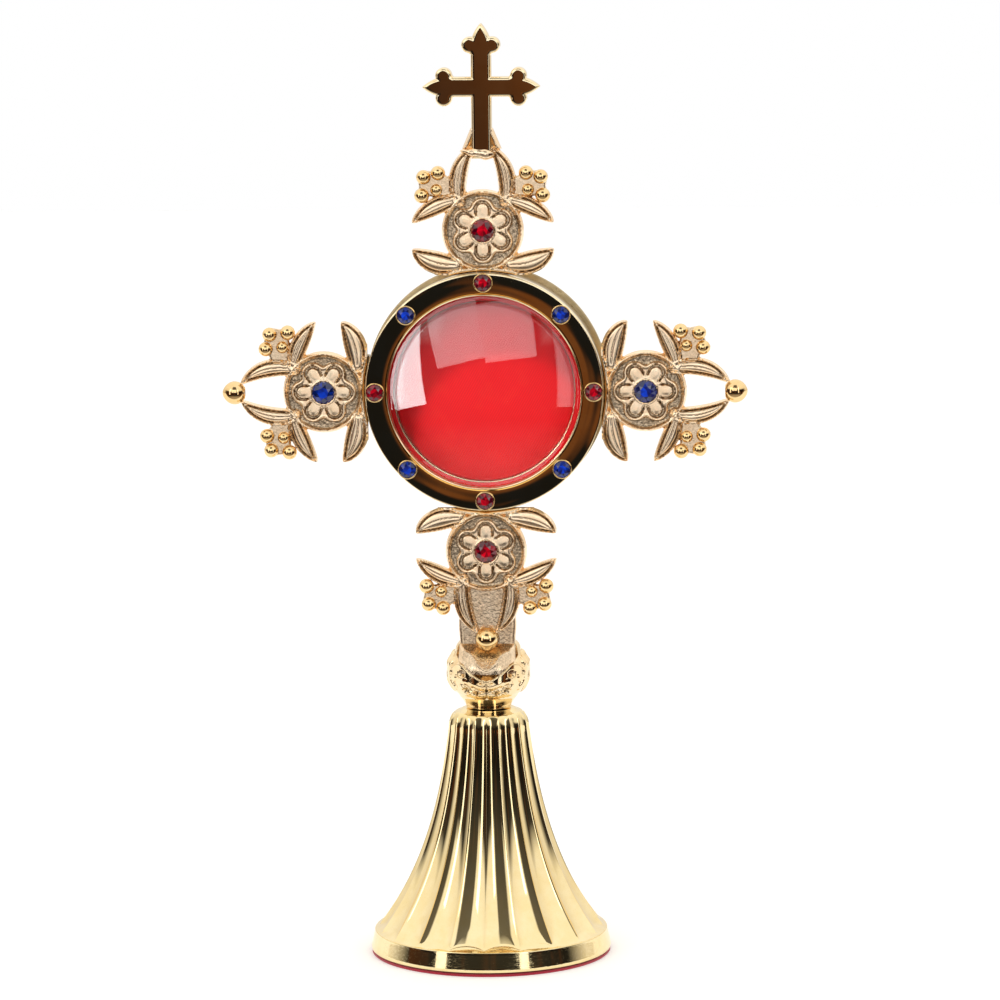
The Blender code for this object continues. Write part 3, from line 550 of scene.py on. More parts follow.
def relief(shape, low, high, cell):
    """Meshes a flat-backed casting. shape(u, v) gives outline distance (negative inside), height and
    hollow share. Returns points as rows of (u, v, height), faces, and the hollow share of each point."""
    us = np.arange(low[0], high[0] + cell, cell)
    vs = np.arange(low[1], high[1] + cell, cell)
    u, v = np.meshgrid(us, vs, indexing="ij")
    s = shape(u, v)[0]
    inside = s < 0
    index = np.full(s.shape, -1)
    index[inside] = np.arange(inside.sum())
    pu, pv = list(u[inside]), list(v[inside])
    crossings = []
    for di, dj in ((1, 0), (0, 1)):
        a = (slice(0, s.shape[0] - di), slice(0, s.shape[1] - dj))
        b = (slice(di, s.shape[0]), slice(dj, s.shape[1]))
        cut = inside[a] != inside[b]
        share = (s[a] / np.where(cut, s[a] - s[b], 1))[cut]
        ids = np.full(cut.shape, -1)
        ids[cut] = len(pu) + np.arange(cut.sum())
        pu.extend(u[a][cut] + share * di * cell)
        pv.extend(v[a][cut] + share * dj * cell)
        crossings.append(ids)
    along_u, along_v = crossings
    whole = inside[:-1, :-1] & inside[1:, :-1] & inside[1:, 1:] & inside[:-1, 1:]
    faces = np.stack([index[:-1, :-1], index[1:, :-1], index[1:, 1:], index[:-1, 1:]], -1)[whole].tolist()
    mixed = ~whole & (inside[:-1, :-1] | inside[1:, :-1] | inside[1:, 1:] | inside[:-1, 1:])
    rim = []
    for i, j in zip(*np.nonzero(mixed)):
        corners = (index[i, j], index[i + 1, j], index[i + 1, j + 1], index[i, j + 1])
        sides = (along_u[i, j], along_v[i + 1, j], along_u[i, j + 1], along_v[i, j])
        loop = []
        for corner, side in zip(corners, sides):
            if corner >= 0:
                loop.append((corner, False))
            if side >= 0:
                loop.append((side, True))
        faces.append([p for p, _ in loop])
        for (p, cut_p), (q, cut_q) in zip(loop, loop[1:] + loop[:1]):
            if cut_p and cut_q:
                rim.append((p, q))
    pu, pv = np.array(pu), np.array(pv)
    _, height, hollow = shape(pu, pv)
    count = len(pu)
    front = np.stack([pu, pv, np.maximum(height, 0.35)], -1)
    points = np.concatenate([front, front * (1, 1, 0)])
    back = [[count + p for p in face[::-1]] for face in faces]
    walls = [(q, p, count + p, count + q) for p, q in rim]
    return points, faces + back + walls, np.concatenate([hollow, hollow * 0])


# --- arms
MEDAL = 34.3  # head's centre to flower's centre
MEDAL_R = 8.7
PETALS = 6
BERRIES = ((7.45, 12.8, 1.6), (11.35, 12.4, 1.55), (12.2, 9.3, 1.55), (8.65, 9.7, 1.3))
DROP = 18.95  # flower's centre to drop's centre
BEAD_BACK = 0.08  # the flat backs of berries, drop and solder stand this far into the casting
CROSS_LOW, CROSS_HIGH = sides("finial_cross")


def flower(u, v):
    """Height and hollow share of the six-lobed flower about (0, 0), with a C-shaped groove in each lobe."""
    r = np.hypot(u, v)
    outside = r - 5.5
    groove = np.zeros(u.shape)
    pad = np.zeros(u.shape)
    for k in range(PETALS):
        a = math.tau * k / PETALS
        du, dv = u - 4.5 * math.cos(a), v - 4.5 * math.sin(a)
        out, across = du * math.cos(a) + dv * math.sin(a), dv * math.cos(a) - du * math.sin(a)
        outside = blended_least(outside, np.hypot(out, across) - 2.5, 0.6)
        rho = np.hypot(out - np.clip(out, -1.1, 0) * 0.5, across)
        facing = out / np.maximum(np.hypot(out, across), 1e-6)
        width = 0.17 + 0.15 * step(facing, -0.5, 0.9)
        cut = 1 - step(np.abs(rho - 1.5), width * 0.6, width + 0.08)
        groove = np.maximum(groove, cut * step(facing, -0.82, -0.55))
        pad = np.maximum(pad, hump(rho - 0.15, 0.55))
    edge = hump(outside + 0.35, 0.3)
    height = (1.42 + 0.10 * edge - 1.0 * groove + 0.07 * pad) * dome(-outside, 0.35) * (outside < 0)
    hollow = np.clip(groove * 1.4, 0, 1) * (outside < 0)
    rise = 1.72 - 0.30 * step(r, 1.9, 2.3) + 0.28 * hump(r - 2.52, 0.18)
    eye = np.where(r < 2.8, rise * dome(2.8 - r, 0.22), 0)
    return np.maximum(height, eye), np.where(eye > height, 0, hollow)


def arm_shape(with_sheath):
    """The relief of one arm, lying along +u from the head's centre."""

    def shape(u, v):
        u = u - MEDAL
        side = np.abs(v)
        r = np.hypot(u, v)
        outside = r - MEDAL_R
        rim = hump(r - 8.18, 0.42)
        height = (0.62 + 1.1 * rim) * dome(MEDAL_R - r, 0.35) * (r < MEDAL_R)
        hollow = np.where(r < 7.9, 0.85 - 0.85 * step(r, 7.4, 7.9), 0)
        petals, petal_hollow = flower(u, v)
        hollow = np.where(petals > height, petal_hollow, hollow)
        height = np.maximum(height, petals)

        from_head = np.hypot(u + MEDAL, v)
        spread = np.arctan2(side, u + MEDAL)
        band = np.maximum(np.abs(from_head - RING_R - 0.75) - 0.72, (spread - 0.41) * 26)
        band_rise = (1.0 + 0.55 * hump(band + 0.7, 0.5)) * dome(-band, 0.5) * (band < 0)
        leaves = [
            leaf(u, side, (-7.3, 5.8), (-7.3, 11.6), (-3.9, 15.0), 2.45),
            leaf(u, side, (6.4, 6.0), (5.2, 11.4), (1.6, 15.0), 1.95),
            leaf(u, side, (6.2, 4.9), (13.0, 6.4), (17.8, 1.7), 1.95, foot=0.2),
        ]
        parts = [(band, band_rise, 0 * u)] + leaves
        bed = np.hypot(u - 9.9, side - 10.9) - 2.6
        for bu, bv, br in BERRIES:
            bed = blended_least(bed, np.hypot(u - bu, side - bv) - br * 0.80, 1.0)
        bed = blended_least(bed, np.hypot(u - 9.0, side - 7.7) - 2.4, 1.4)
        parts.append((bed, 1.05 * dome(-bed, 0.3) * (bed < 0), (bed < 0) * 0.3))
        if with_sheath:
            length = (ARM_TIP - MEDAL) - u
            slope = side - (2.35 + 0.42 * np.maximum(length, 0))
            plate = np.maximum.reduce([slope, -length, 17.2 - u])
            lip = np.maximum(hump(-slope - 0.75, 0.55), hump(length - 0.35, 0.3))
            plate_rise = (1.0 + lip) * dome(-plate, 0.35) * (plate < 0)
            parts.append((plate, plate_rise, 0 * u))
        for away, rise, deep in parts:
            hollow = np.where(rise > height, deep, hollow)
            height = np.maximum(height, rise)
            outside = blended_least(outside, away, 0.45)
        outside = np.maximum(outside, RING_R + 0.03 - from_head)
        return outside, height, hollow

    return shape


def end_drop(around=32):
    """Points and faces of the flat-backed drop at an arm's end: a collar, a full belly, a nib."""
    outline = [(16.9, 0.0), (16.95, 1.15), (17.25, 1.45), (17.6, 1.35)]
    for i in range(15):
        a = math.radians(150 - 150 * i / 14)
        outline.append((DROP + 2.45 * math.cos(a) + 0.20 * max(0, math.cos(a)) ** 6, 2.5 * math.sin(a)))
    points = []
    for u, radius in outline:
        for k in range(around):
            a = math.tau * k / around
            height = 1.35 + radius * math.sin(a) * 0.95
            points.append((MEDAL + u, radius * math.cos(a), max(BEAD_BACK, height)))
    return points, grid_faces(len(outline), around)


def berries():
    """Points and faces of both clusters of an arm."""
    parts = []
    for side in (-1, 1):
        for u, v, radius in BERRIES:
            points, faces = unit_ball(22, 12)
            placed = [
                (MEDAL + u + radius * p.x, side * v + radius * p.z, max(BEAD_BACK, 1.25 - radius * p.y))
                for p in points
            ]
            parts.append((placed, faces))
    return parts


def on_arm(points, turn):
    """Arm points (u from the head's centre, v, height), carried to their arm."""
    c, s = round(math.cos(turn)), round(math.sin(turn))
    return [(u * c - v * s, ARM_BACK - h, HEAD.z + u * s + v * c) for u, v, h in points]


ARMS = {"right": 0.0, "top": math.pi / 2, "left": math.pi, "bottom": -math.pi / 2}


def make_arms():
    span = 15.9
    for name, turn in ARMS.items():
        top = name == "top"
        points, faces, hollow = relief(arm_shape(top), (RING_R - 0.5, -span), (ARM_TIP, span), 0.17)
        piece(f"arm_{name}_casting", on_arm(points, turn), faces, "gilt_cast", instead=(f"arm_{name}",),
              smooth=50, hollow=hollow)
        points, faces = gathered(berries() + ([] if top else [end_drop()]))
        piece(f"arm_{name}_berries", on_arm(points, turn), faces, "gilt_polished", smooth=60)


def make_solder():
    """The run of solder that joins the cross to the top arm, a bar that sags to one side."""
    bar, faces = unit_ball(36, 16)
    placed = []
    proud = ARM_BACK - CROSS_LOW.y + 0.5
    for p in bar:
        across = 0.85 - 3.75 * p.z
        low = 15.0 + 0.22 * across + 0.12 * math.sin(across * 2.1)
        half = (17.6 - low) / 2
        height = proud * (0.45 - 0.55 * p.y) * (1 - 0.10 * math.sin(across * 1.7 + 0.6))
        placed.append((MEDAL + low + half + half * p.x, across, max(BEAD_BACK, height)))
    piece("arm_top_solder", on_arm(placed, ARMS["top"]), faces, "gilt_cast", smooth=60)


# --- finial
CROSS_ARM = 13.4  # top to the middle of the bar
CROSS_FOOT = CROSS_LOW.z - CROSS_HIGH.z + CROSS_ARM  # bottom, from the middle of the bar
CROSS_T = CROSS_HIGH.y - CROSS_LOW.y
BAR_HALF = 2.1


def bud(along, across, tip):
    """Outline distance of a three-lobed end: a pointed middle leaf between two rounded lobes."""
    lobe = np.hypot(along - tip + 4.55, across - 2.35) - 1.72
    share = (along - tip + 5.2) / 5.2
    middle = across - 2.1 * np.clip(1 - share**2.2, 0, 1) * (share < 1)
    middle = np.maximum(middle * 0.9, along - tip)
    middle = np.where(along < tip - 5.2, 9.0, middle)
    return blended_least(np.minimum(lobe, middle), np.hypot(along - tip + 5.4, across) - 2.4, 0.5)


def cross_shape(u, v):
    """u across, v up from the middle of the bar."""
    x = np.abs(u)
    stem = np.maximum(x - BAR_HALF, np.maximum(v - 9.0, CROSS_FOOT - v))
    bar = np.maximum(np.abs(v) - BAR_HALF, x - 9.0)
    outside = np.minimum.reduce([stem, bar, bud(x, np.abs(v), 12.45), bud(v, x, CROSS_ARM - 0.05)])
    bevel = 0.62
    rise = CROSS_T - bevel * (1 - dome(-outside, bevel))
    return outside, rise, np.zeros(u.shape)


def make_finial():
    points, faces, _ = relief(cross_shape, (-12.7, CROSS_FOOT - 0.1), (12.7, CROSS_ARM + 0.1), 0.15)
    bar = CROSS_HIGH.z - CROSS_ARM
    placed = [(u, CROSS_HIGH.y - h, bar + v) for u, v, h in points]
    piece("finial_cross_mirror", placed, faces, "gilt_mirror", instead=("finial_cross",), smooth=60)


# --- ring, crystal and stones
def make_ring():
    hole, bevel = 20.9, 0.32
    front, back = RING_FRONT, RING_BACK
    outline = [(hole, back), (hole, front + 0.3), (hole + 0.25, front)]
    outline += [(RING_R - bevel - 0.12, front), (RING_R - bevel, front + 0.02)]
    for i in range(1, 9):
        a = math.radians(90 * i / 8)
        outline.append((RING_R - bevel + bevel * math.sin(a), front + 0.02 + bevel * (1 - math.cos(a))))
    outline += [(RING_R, back), (hole, back)]
    head_piece("front_ring_mirror", outline, 256, "gilt_mirror", instead=("front_ring",), smooth=38)


def stone_place(node):
    """Centre of a stone's box, and its radius as it shows above its seat."""
    low, high = sides(node)
    return (low + high) / 2, (high.x - low.x) / 2 + 0.2


def chance(index, seed):
    """A repeatable number from 0 to 1."""
    value = math.sin(index * 12.9898 + seed * 78.233) * 43758.5453
    return value - math.floor(value)


def cut_stone(node, slot, seed, girdle, front):
    """A round stone with a flat table ringed by eight kites, cut in facets."""
    centre, radius = stone_place(node)
    height = girdle - front
    rows = [(1.0, -0.25, 16, 0.0), (1.0, 0.12, 16, 0.0), (0.80, 0.62, 8, 0.5), (0.50, 1.0, 8, 0.0)]
    points, starts = [], []
    for share, rise, count, turn in rows:
        starts.append(len(points))
        for k in range(count):
            a = math.tau * (k + turn) / count + seed * 0.37
            across, up = radius * share * math.cos(a), radius * share * math.sin(a)
            points.append((centre.x + across, girdle - height * rise, centre.z + up))
    faces = [tuple(range(16))]
    faces += [(k, (k + 1) % 16, 16 + (k + 1) % 16, 16 + k) for k in range(16)]
    low, mid, top = starts[1], starts[2], starts[3]
    for k in range(8):
        a, b, c = low + 2 * k, low + (2 * k + 1) % 16, low + (2 * k + 2) % 16
        faces += [(a, b, mid + k), (b, c, mid + k)]
        faces += [(a, mid + k, top + k), (a, top + k, mid + (k - 1) % 8)]
        faces += [(mid + k, top + (k + 1) % 8, top + k)]
    hub = len(points)
    points.append((centre.x + 0.1 * radius, front, centre.z + 0.12 * radius))
    faces += [(top + k, top + (k + 1) % 8, hub) for k in range(8)]
    mesh = piece(f"{node}_cut", points, faces, slot, instead=(node,), smooth=1).data
    # Painted glints: facets near the middle of the table get bright random shares, the rest stay dark, as
    # light caught inside the stone.
    painted_glints = []
    for index, face in enumerate(mesh.polygons):
        away = math.hypot(face.center.x / MM - centre.x, face.center.z / MM - centre.z) / radius
        lucky = chance(index, seed)
        painted_glints.append(0.10 + 0.9 * lucky if away < 0.45 else 0.02 + 0.40 * lucky**3)
    mesh.attributes.new("facet", "FLOAT", "FACE").data.foreach_set("value", np.array(painted_glints, np.float32))
    mesh.shade_flat()


def stone_collar(node):
    """A thin raised collar round a stone of the ring, as (points, faces)."""
    centre, radius = stone_place(node)
    outline = []
    for i in range(11):
        a = math.tau * i / 10
        outline.append((radius + 0.06 + 0.16 * math.cos(a), RING_FRONT - 0.14 - 0.22 * math.sin(a)))
    return turned(outline, 40, "Y", (centre.x, 0, centre.z))


def make_stones():
    collars = []
    for k in range(1, 9):
        node = f"ring_stone_{k}"
        slot = "ruby_glass" if k % 2 else "sapphire_glass"
        cut_stone(node, slot, k, RING_FRONT - 0.05, RING_FRONT - 0.75)
        collars.append(stone_collar(node))
    eye = ARM_BACK - 1.65
    for k, side in enumerate(("top", "bottom", "left", "right")):
        slot = "ruby_glass" if side in ("top", "bottom") else "sapphire_glass"
        cut_stone(f"flower_stone_{side}", slot, 11 + k, eye, eye - 0.95)
    piece("ring_stone_collars", *gathered(collars), "gilt_polished", smooth=70)


def make_crystal():
    low, high = sides("crystal")
    flange = high.y - 1.2
    dome_r, rise = 20.35, flange - low.y
    inner, inner_apex = dome_r - 1.1, low.y + 1.2
    sphere = (dome_r**2 + rise**2) / (2 * rise)

    def cap(radius, apex):
        return apex + sphere - math.sqrt(max(sphere**2 - radius**2, 0))

    shares = [i / 40 for i in range(41)]
    outline = [(dome_r * s, cap(dome_r * s, low.y)) for s in shares]
    outline += [(high.x - 0.1, flange), (high.x, flange + 0.1), (high.x, high.y), (inner, high.y)]
    outline += [(inner * s, min(cap(inner * s, inner_apex), high.y)) for s in shares[-2::-1]]
    head_piece("crystal_dome", outline, 160, "clear_glass", instead=("crystal",), smooth=40)

    back = sides("crystal_bezel")[1].y
    hole, edge, lip, seat = 20.50, 20.88, RING_FRONT - 0.12, RING_FRONT + 0.02
    outline = [(hole, back), (hole, lip + 0.18), (hole + 0.05, lip + 0.06), (hole + 0.16, lip)]
    outline += [(hole + 0.26, lip + 0.05), (hole + 0.32, seat), (edge, seat), (edge, back), (hole, back)]
    head_piece("crystal_bezel_rim", outline, 200, "gilt_mirror", instead=("crystal_bezel",), smooth=50)


# --- foot
FLUTES = 20
FLUTE_DEPTH = 0.056
RIM_IN, RIM_TOP = 0.80, 4.75  # the rim leans in by so much, up to so high
LEDGE_R, LEDGE_Z, LEDGE_SLOPE = 25.05, 5.06, 0.42
BELL_LOW, BELL_TOP = 5.8, 49.2


def bell_radius(z):
    """Radius of the arrises at a height."""
    return 5.7 + 18.3 * np.exp(-(z - BELL_LOW) / 23.8)


def flute(theta, depth):
    """Share by which a flute pulls the radius in."""
    phase = (theta * FLUTES / math.tau) % 1.0
    return 1 - depth * np.sin(math.pi * phase) ** 0.75


def foot_rows(theta):
    """Rings of the foot from its underside up to its crown, as (radius, height)."""
    low, high = sides("base_shell")
    rim, low, crown = high.x, low.z, high.z
    turn = low + 0.45
    rows = [(0.0, low), (rim - 2.0, low), (rim - 0.4, low), (rim - 0.1, low + 0.12), (rim, turn)]
    rows += [(rim - RIM_IN * i / 8, turn + (RIM_TOP - turn) * i / 8) for i in range(1, 9)]
    for i in range(1, 5):
        a = math.radians(22.5 * i)
        rows.append((rim - RIM_IN - 0.18 * (1 - math.cos(a)), RIM_TOP + 0.28 * math.sin(a)))
    fluted = flute(theta, FLUTE_DEPTH)
    start = bell_radius(BELL_LOW) * fluted
    for t in (0, 0.25, 0.5, 0.75, 1):
        radius = LEDGE_R * (1 - t) + (start + 0.2) * t
        rows.append((radius, LEDGE_Z + LEDGE_SLOPE * (LEDGE_R - radius) - 0.10 * math.sin(math.pi * t)))
    ledge = LEDGE_Z + LEDGE_SLOPE * (LEDGE_R - start) + 0.15
    for t in np.linspace(0, 1, 70) ** 1.25:
        climb = (BELL_TOP - BELL_LOW - 0.1) * t
        z = BELL_LOW + 0.1 + climb
        rows.append((bell_radius(z) * fluted, np.maximum(z, ledge + climb * 0.9)))
    top = bell_radius(BELL_TOP)
    for i in range(1, 15):
        a = math.radians(90 * i / 14)
        radius = top - 0.1 * i / 14 - 2.1 * (1 - math.cos(a))
        fade = FLUTE_DEPTH * (1 - step(i / 14, 0.35, 0.85))
        rows.append((radius * flute(theta, fade), BELL_TOP + 3.55 * math.sin(a)))
    return rows + [(6.1, crown - 0.42), (5.75, crown - 0.12), (5.45, crown), (0.0, crown)]


def make_foot():
    fine = FLUTES * 26
    theta = np.arange(fine) * math.tau / fine
    rows = foot_rows(theta)
    points = []
    for radius, z in rows:
        points.extend(np.stack([radius * np.cos(theta), radius * np.sin(theta), z + 0 * theta], -1))
    piece("foot_bell", points, grid_faces(len(rows), fine), "gilt_polished", "foot_gilt",
          instead=("base_shell",), smooth=36)
    (_, _, low), (radius, _, high) = sides("base_felt")
    outline = [(0.0, low), (radius - 0.15, low), (radius, low + 0.12), (radius, high - 0.1)]
    outline += [(radius - 0.1, high), (0.0, high)]
    piece("foot_felt", *turned(outline, 160, "Z"), "red_felt", instead=("base_felt",), smooth=50)


# --- knop and tongue
KNOP_OUTLINE = (
    (4.9, 53.6), (5.05, 54.2), (5.4, 54.8), (5.9, 55.5), (6.45, 56.1), (7.2, 56.8), (7.8, 57.6), (8.5, 59.1),
    (8.85, 60.2), (9.0, 61.2), (9.0, 62.6), (8.6, 63.7), (7.9, 64.7), (7.5, 65.6), (7.1, 66.6), (6.4, 67.6),
    (5.2, 68.3), (3.0, 68.6),
)
SCROLLS = (  # base, bend, tip of each ridge: round from the front, and height; then half-width, rise
    ((8.8, 60.6), (7.2, 66.2), (1.9, 60.7), 0.95, 0.75),
    ((4.4, 61.8), (2.4, 58.6), (0.15, 59.0), 0.80, 0.60),
    ((0.2, 57.2), (3.6, 55.9), (6.0, 58.9), 0.85, 0.70),
    ((6.0, 58.9), (5.6, 61.0), (3.6, 59.5), 0.65, 0.45),
    ((9.5, 58.4), (11.5, 60.5), (10.6, 64.0), 0.9, 0.6),
    ((14.2, 57.4), (12.2, 59.5), (12.9, 65.0), 0.9, 0.6),
)
EYES = ((5.75, 61.9, 0.95), (4.9, 58.1, 0.7), (2.5, 57.55, 0.5), (9.3, 61.8, 0.8), (12.6, 61.0, 0.9))


def knop_rise(theta, z):
    """Relief on the knop, and its hollows. The back repeats the front."""
    turn = np.abs((theta + math.pi) % math.tau - math.pi)
    turn = np.minimum(turn, math.pi - turn)
    around = turn * KNOP_R + 0 * z
    lift = 0 * around
    z = z + lift
    for base, bend, tip, half, rise in SCROLLS:
        _, off = beside(around, z, base, bend, tip, 14)
        lift = np.maximum(lift, rise * dome(half - np.abs(off), half) * (np.abs(off) < half))
    deep = 0 * lift
    for a, h, radius in EYES:
        away = np.hypot(around - a, z - h)
        lift = lift - 0.75 * hump(away, radius * 0.8) + 0.35 * hump(away - radius * 1.25, radius * 0.35)
        deep = np.maximum(deep, hump(away, radius * 0.7))
    cleft = hump(around, 0.28) * step(z, 55.9, 56.6) * (1 - step(z, 59.3, 60.0))
    worked = step(z, 55.7, 56.6) * (1 - step(z, 65.5, 67.5))
    return (lift - 0.25 - 0.6 * cleft) * worked, np.clip(deep + cleft, 0, 1) * worked


KNOP_LOW, KNOP_HIGH = KNOP_OUTLINE[0][1], KNOP_OUTLINE[-1][1]
TONGUE_FRONT = 2.22  # how far the knop stands in front of the stem's axis where the tongue's end lies
TONGUE_END = 65.2
TONGUE_SLOPE = 1.285  # the valley under the tongue comes forward by this much a millimetre down
VALLEY = 0.54  # and by this much a millimetre to either side
TONGUE_BACK = 1.4


def make_knop():
    outline = rounded(KNOP_OUTLINE, 0.6, 5)
    radii, levels = np.array(outline).T
    zs = np.concatenate([np.linspace(KNOP_LOW, KNOP_HIGH - 0.05, 130), [KNOP_HIGH]])
    fine = 240
    theta = (np.arange(fine) + 0.5) * math.tau / fine
    points, hollow = [], []
    for z, radius in zip(zs, np.interp(zs, levels, radii)):
        rise, deep = knop_rise(theta, z)
        reach = np.minimum(radius + rise, KNOP_R)
        x, y = reach * np.sin(theta), -reach * np.cos(theta)
        below = max(0.0, TONGUE_END - z)
        valley = VALLEY * np.abs(x) * min(1.0, below / 1.5)
        limit = -(TONGUE_FRONT + TONGUE_SLOPE * below + valley + 2.5 * np.maximum(np.abs(x) - 6.2, 0))
        # Where the knop is cut back under the tongue it gets a hollow share of 0.35: painted shade between
        # knop and tongue.
        hollow.extend(np.where(y < limit, 0.35, deep))
        points.extend(np.stack([x, np.maximum(y, limit), z + 0 * x], -1))
    faces = grid_faces(len(zs), fine)
    faces += [tuple(range(fine)), tuple(range((len(zs) - 1) * fine, len(zs) * fine))]
    piece("knop_scrolls", points, faces, "gilt_cast", "gilt_scrolls", instead=("stem_knop",), smooth=60,
          hollow=hollow)

    def plate_shape(u, v):
        """The tongue: u down from the head's centre, v to the right."""
        wavy = 0.10 * np.sin(u * 0.9)
        side = np.abs(v) - 6.0 - wavy * (np.abs(v) > 5)
        outside = np.maximum.reduce([side, u - 60.2, 25.35 - np.hypot(u, v)])
        edge = hump(-side - 0.5, 0.5)
        past = np.maximum(u - 54.6, 0)
        slope = TONGUE_SLOPE * past + VALLEY * np.abs(v) * np.clip(past / 1.5, 0, 1)
        radius = np.interp(HEAD.z - u, levels, radii)
        knop_front = TONGUE_BACK + np.sqrt(np.maximum(radius**2 - v**2, 1.0)) - 0.25
        height = 3.4 + 0.37 * dome(-side, 0.6) + slope
        height = np.where(past > 0, np.minimum(height, knop_front), height)
        return outside, height, np.where(edge > 0.5, 0.15, 0.42)

    points, faces, hollow = relief(plate_shape, (24.0, -6.4), (60.6, 6.4), 0.25)
    placed = [(v, TONGUE_BACK - h, HEAD.z - u) for u, v, h in points]
    piece("stem_tongue", placed, faces, "gilt_cast", smooth=50, hollow=hollow)


# --- case, door, pad and small hardware
def make_case():
    low, high = sides("case_cup")
    front, back, outer, hole, wall = low.y, high.y, high.x, 20.45, 1.2
    floor = front + 1.0
    soft, near = 0.25, 0.25 * 0.3
    outline = [(hole, front), (outer - soft, front), (outer - near, front + near), (outer, front + soft)]
    outline += [(outer, front + 1.5), (outer, back - 1.4), (outer, back - soft), (outer - near, back - near)]
    outline += [(outer - soft, back), (outer - wall, back), (outer - wall, floor), (hole, floor)]
    outline.append(outline[0])
    head_piece("case_shell", outline, 200, "gilt_brushed", instead=("case_cup",), smooth=40)
    low, high = sides("case_lining")
    outer, inner = high.x, high.x - 0.3
    outline = [(inner, low.y), (outer, low.y), (outer, high.y), (inner, high.y), (inner, low.y)]
    head_piece("case_satin_lining", outline, 200, "red_satin", instead=("case_lining",), smooth=40)


def make_door():
    low, high = sides("back_door")
    radius, boss, top = high.x, low.y, high.y
    face = sides("case_cup")[1].y + 0.3
    back = face + 1.8
    outline = [(0.0, boss), (22.6, boss), (22.8, boss + 0.2), (22.8, face), (radius - 0.5, face)]
    outline += [(radius - 0.15, face + 0.15), (radius, face + 0.5), (radius, back - 0.5)]
    outline += [(radius - 0.15, back - 0.15), (radius - 0.5, back), (23.2, back)]
    for at in (22.6, 21.8):  # two turned grooves
        outline += [(at, back - 0.05), (at - 0.2, back - 0.25), (at - 0.4, back - 0.05)]
    outline += [(21.0, back), (17.2, back), (16.6, back + 0.1), (16.1, top - 0.25), (15.4, top), (12.0, top)]
    outline += [(11.3, top - 0.1), (10.9, back + 0.15), (10.2, back + 0.05), (6.0, back + 0.2)]
    outline.append((0.0, back + 0.3))
    head_piece("back_door_turned", outline, 220, "gilt_brushed", body=DOOR, instead=("back_door",),
               smooth=40)
    low, high = sides("door_knob")
    tall, wide = high.y - low.y, (high.x - low.x) / 2
    outline = [(0.0, 0.0), (0.70, 0.0), (0.66, 0.05), (0.46, 0.16), (0.42, 0.28), (0.46, 0.38), (0.80, 0.50)]
    outline = rounded(outline + [(0.98, 0.62), (1.0, 0.70), (0.94, 0.82), (0.62, 0.95), (0.0, 1.0)], 0.2, 4)
    outline = [(r * wide, low.y + h * tall) for r, h in outline]
    points, faces = turned(outline, 40, "Y", ((low.x + high.x) / 2, 0, (low.z + high.z) / 2))
    piece("door_knob_turned", points, faces, "gilt_polished", body=DOOR, instead=("door_knob",), smooth=60)


def swell(obj, low, high):
    """Fills the pad with air as cloth, held inside its own box."""
    scene = bpy.context.scene
    bpy.context.view_layer.objects.active = obj
    start = np.array([v.co for v in obj.data.vertices])
    cloth = obj.modifiers.new("cloth", "CLOTH")
    settings = cloth.settings
    settings.quality = 6
    settings.mass = 0.05
    settings.tension_stiffness = settings.compression_stiffness = 25
    settings.bending_stiffness = 0.4
    settings.use_pressure = True
    settings.uniform_pressure_force = 4
    settings.effector_weights.gravity = 0
    cloth.point_cache.frame_start, cloth.point_cache.frame_end = 1, 20
    for number in range(1, 21):
        scene.frame_set(number)
    shown = obj.evaluated_get(bpy.context.evaluated_depsgraph_get())
    after = np.array([v.co for v in shown.data.vertices])
    obj.modifiers.remove(cloth)
    move = after - start
    far = np.linalg.norm(move, axis=1, keepdims=True)
    move *= np.minimum(1, 0.9 * MM / np.maximum(far, 1e-9))
    settled = np.clip(start + move, np.array(low) + 0.03 * MM, np.array(high) - 0.03 * MM)
    obj.data.vertices.foreach_set("co", settled.astype(np.float32).ravel())
    obj.data.update()
    scene.frame_set(1)


def make_pad():
    low, high = sides("display_pad")
    radius = (high.x - low.x) / 2 - 0.35
    thick = high.y - low.y
    shoulder = high.y - 0.5
    outline = [(0.0, high.y - 0.15), (radius - 0.6, high.y - 0.15), (radius, shoulder)]
    for i in range(1, 15):
        a = i / 14
        outline.append((radius * (1 - a**1.6), shoulder - (thick - 1.1) * math.sin(a * math.pi / 2)))
    pad = head_piece("satin_pad", outline, 72, "red_satin", body=DOOR, instead=("display_pad",), smooth=180)
    bm = bmesh.new()
    bm.from_mesh(pad.data)
    bmesh.ops.remove_doubles(bm, verts=bm.verts, dist=0.02 * MM)
    bmesh.ops.recalc_face_normals(bm, faces=bm.faces)
    bm.to_mesh(pad.data)
    bm.free()
    remesh = pad.modifiers.new("voxels", "REMESH")
    remesh.mode = "VOXEL"
    remesh.voxel_size = 0.7 * MM
    apply_modifiers(pad)
    low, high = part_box("display_pad")
    swell(pad, low, high)
    pad.modifiers.new("smooth", "SUBSURF").levels = 1
    pad.modifiers["smooth"].render_levels = 1
    apply_modifiers(pad)
    co = np.array([v.co for v in pad.data.vertices])
    co = np.clip(co, np.array(low) + 0.02 * MM, np.array(high) - 0.02 * MM)
    pad.data.vertices.foreach_set("co", co.astype(np.float32).ravel())
    pad.data.shade_smooth()


def apply_modifiers(obj):
    shown = obj.evaluated_get(bpy.context.evaluated_depsgraph_get())
    mesh = bpy.data.meshes.new_from_object(shown)
    obj.modifiers.clear()
    obj.data = mesh


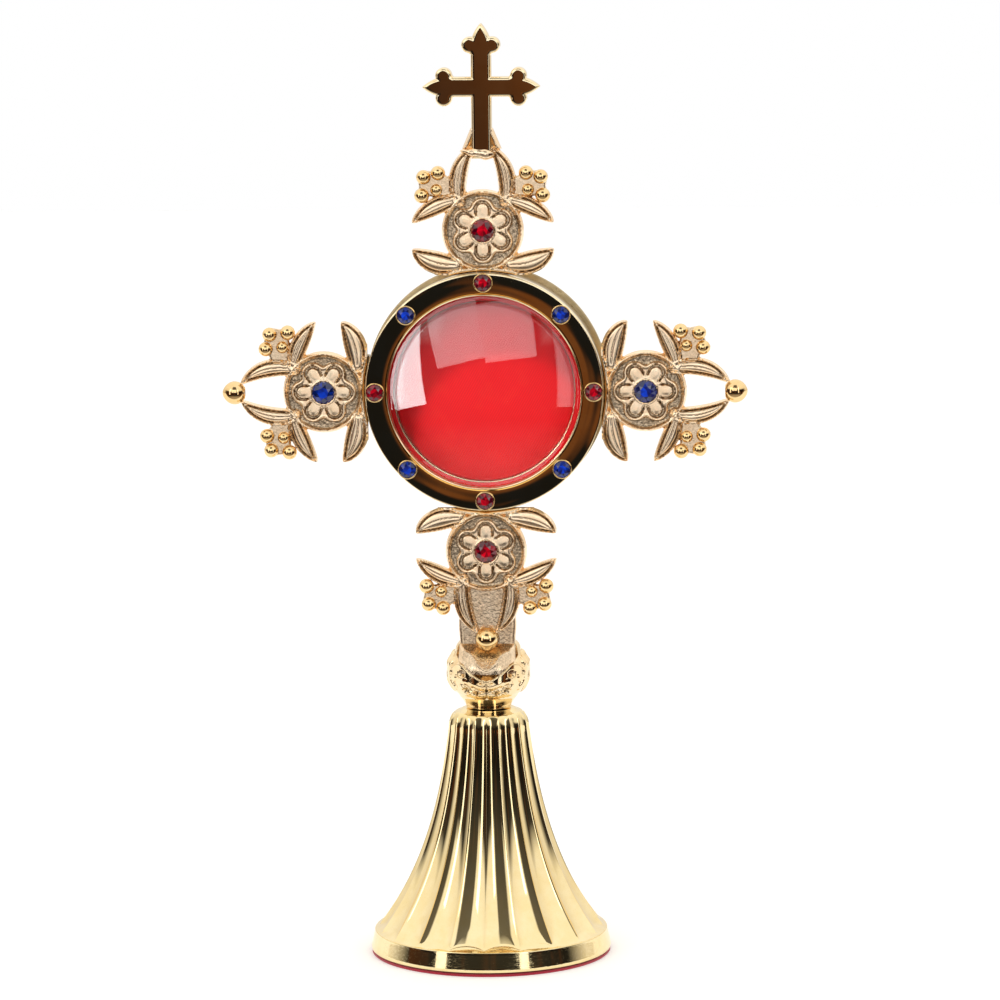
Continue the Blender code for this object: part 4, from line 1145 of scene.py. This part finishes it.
def dress_frame():
    """Every CAD node that stays in sight gets its finish."""
    kept = {
        "fibreboard": ("base_board", "pad_board"),
        "tie_steel": ("tie_stud", "tie_washer", "tie_nut", "latch_screw"),
        "gilt_brushed": ("case_hinge_leaf", "door_hinge_leaf", "latch_post"),
        "gilt_polished": ("hinge_pin", "latch_button"),
    }
    for finish, nodes in kept.items():
        for node in nodes:
            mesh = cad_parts[node].data
            mesh.materials.clear()
            mesh.materials.append(FINISHES[finish])


# --- main
def make_finishes():
    for finish in (
        gilt("gilt_polished", (0.94, 0.70, 0.37), (0.88, 0.60, 0.27), (0.05, 0.11), dent=0.00002),
        gilt("foot_gilt", (0.96, 0.80, 0.47), (0.92, 0.73, 0.37), (0.03, 0.08), dent=0.00001, scratch=0.08,
             scratched_below=0.0052),
        gilt("gilt_mirror", (0.96, 0.82, 0.56), (0.90, 0.70, 0.40), (0.02, 0.06), dent=0.00001),
        # The dark third colours of the cast and scroll gilts are painted shade, with some patina, for their
        # hollows.
        gilt("gilt_cast", (1.0, 0.80, 0.57), (0.95, 0.69, 0.44), (0.13, 0.25), shade_and_patina=(0.09, 0.055, 0.025)),
        gilt("gilt_scrolls", (0.97, 0.78, 0.50), (0.92, 0.68, 0.38), (0.05, 0.12),
             shade_and_patina=(0.11, 0.07, 0.03)),
        gilt("gilt_brushed", (0.50, 0.38, 0.21), (0.36, 0.27, 0.14), (0.22, 0.38), scratch=0.4),
        steel("tie_steel"),
        crystal_glass("clear_glass"),
        gem("ruby_glass", (0.04, 0.0, 0.006), (0.85, 0.0, 0.02)),
        gem("sapphire_glass", (0.002, 0.006, 0.05), (0.0, 0.07, 0.85)),
        satin("red_satin", (0.80, 0.006, 0.010), (0.46, 0.002, 0.005)),
        felt("red_felt", (0.55, 0.02, 0.05)),
        board("fibreboard"),
    ):
        FINISHES[finish.name.partition(".")[0]] = finish  # the frame may hold the plain name already


def main():
    bpy.context.scene.view_settings.view_transform = "Standard"
    set_camera()
    for name, place in LAMPS.items():
        hang_lamp(name, *place)
    hang_tent()
    lay_floor()
    make_finishes()
    dress_frame()
    make_arms()
    make_solder()
    make_finial()
    make_ring()
    make_stones()
    make_crystal()
    make_foot()
    make_knop()
    make_case()
    make_door()
    make_pad()
    flag_lamps()


main()
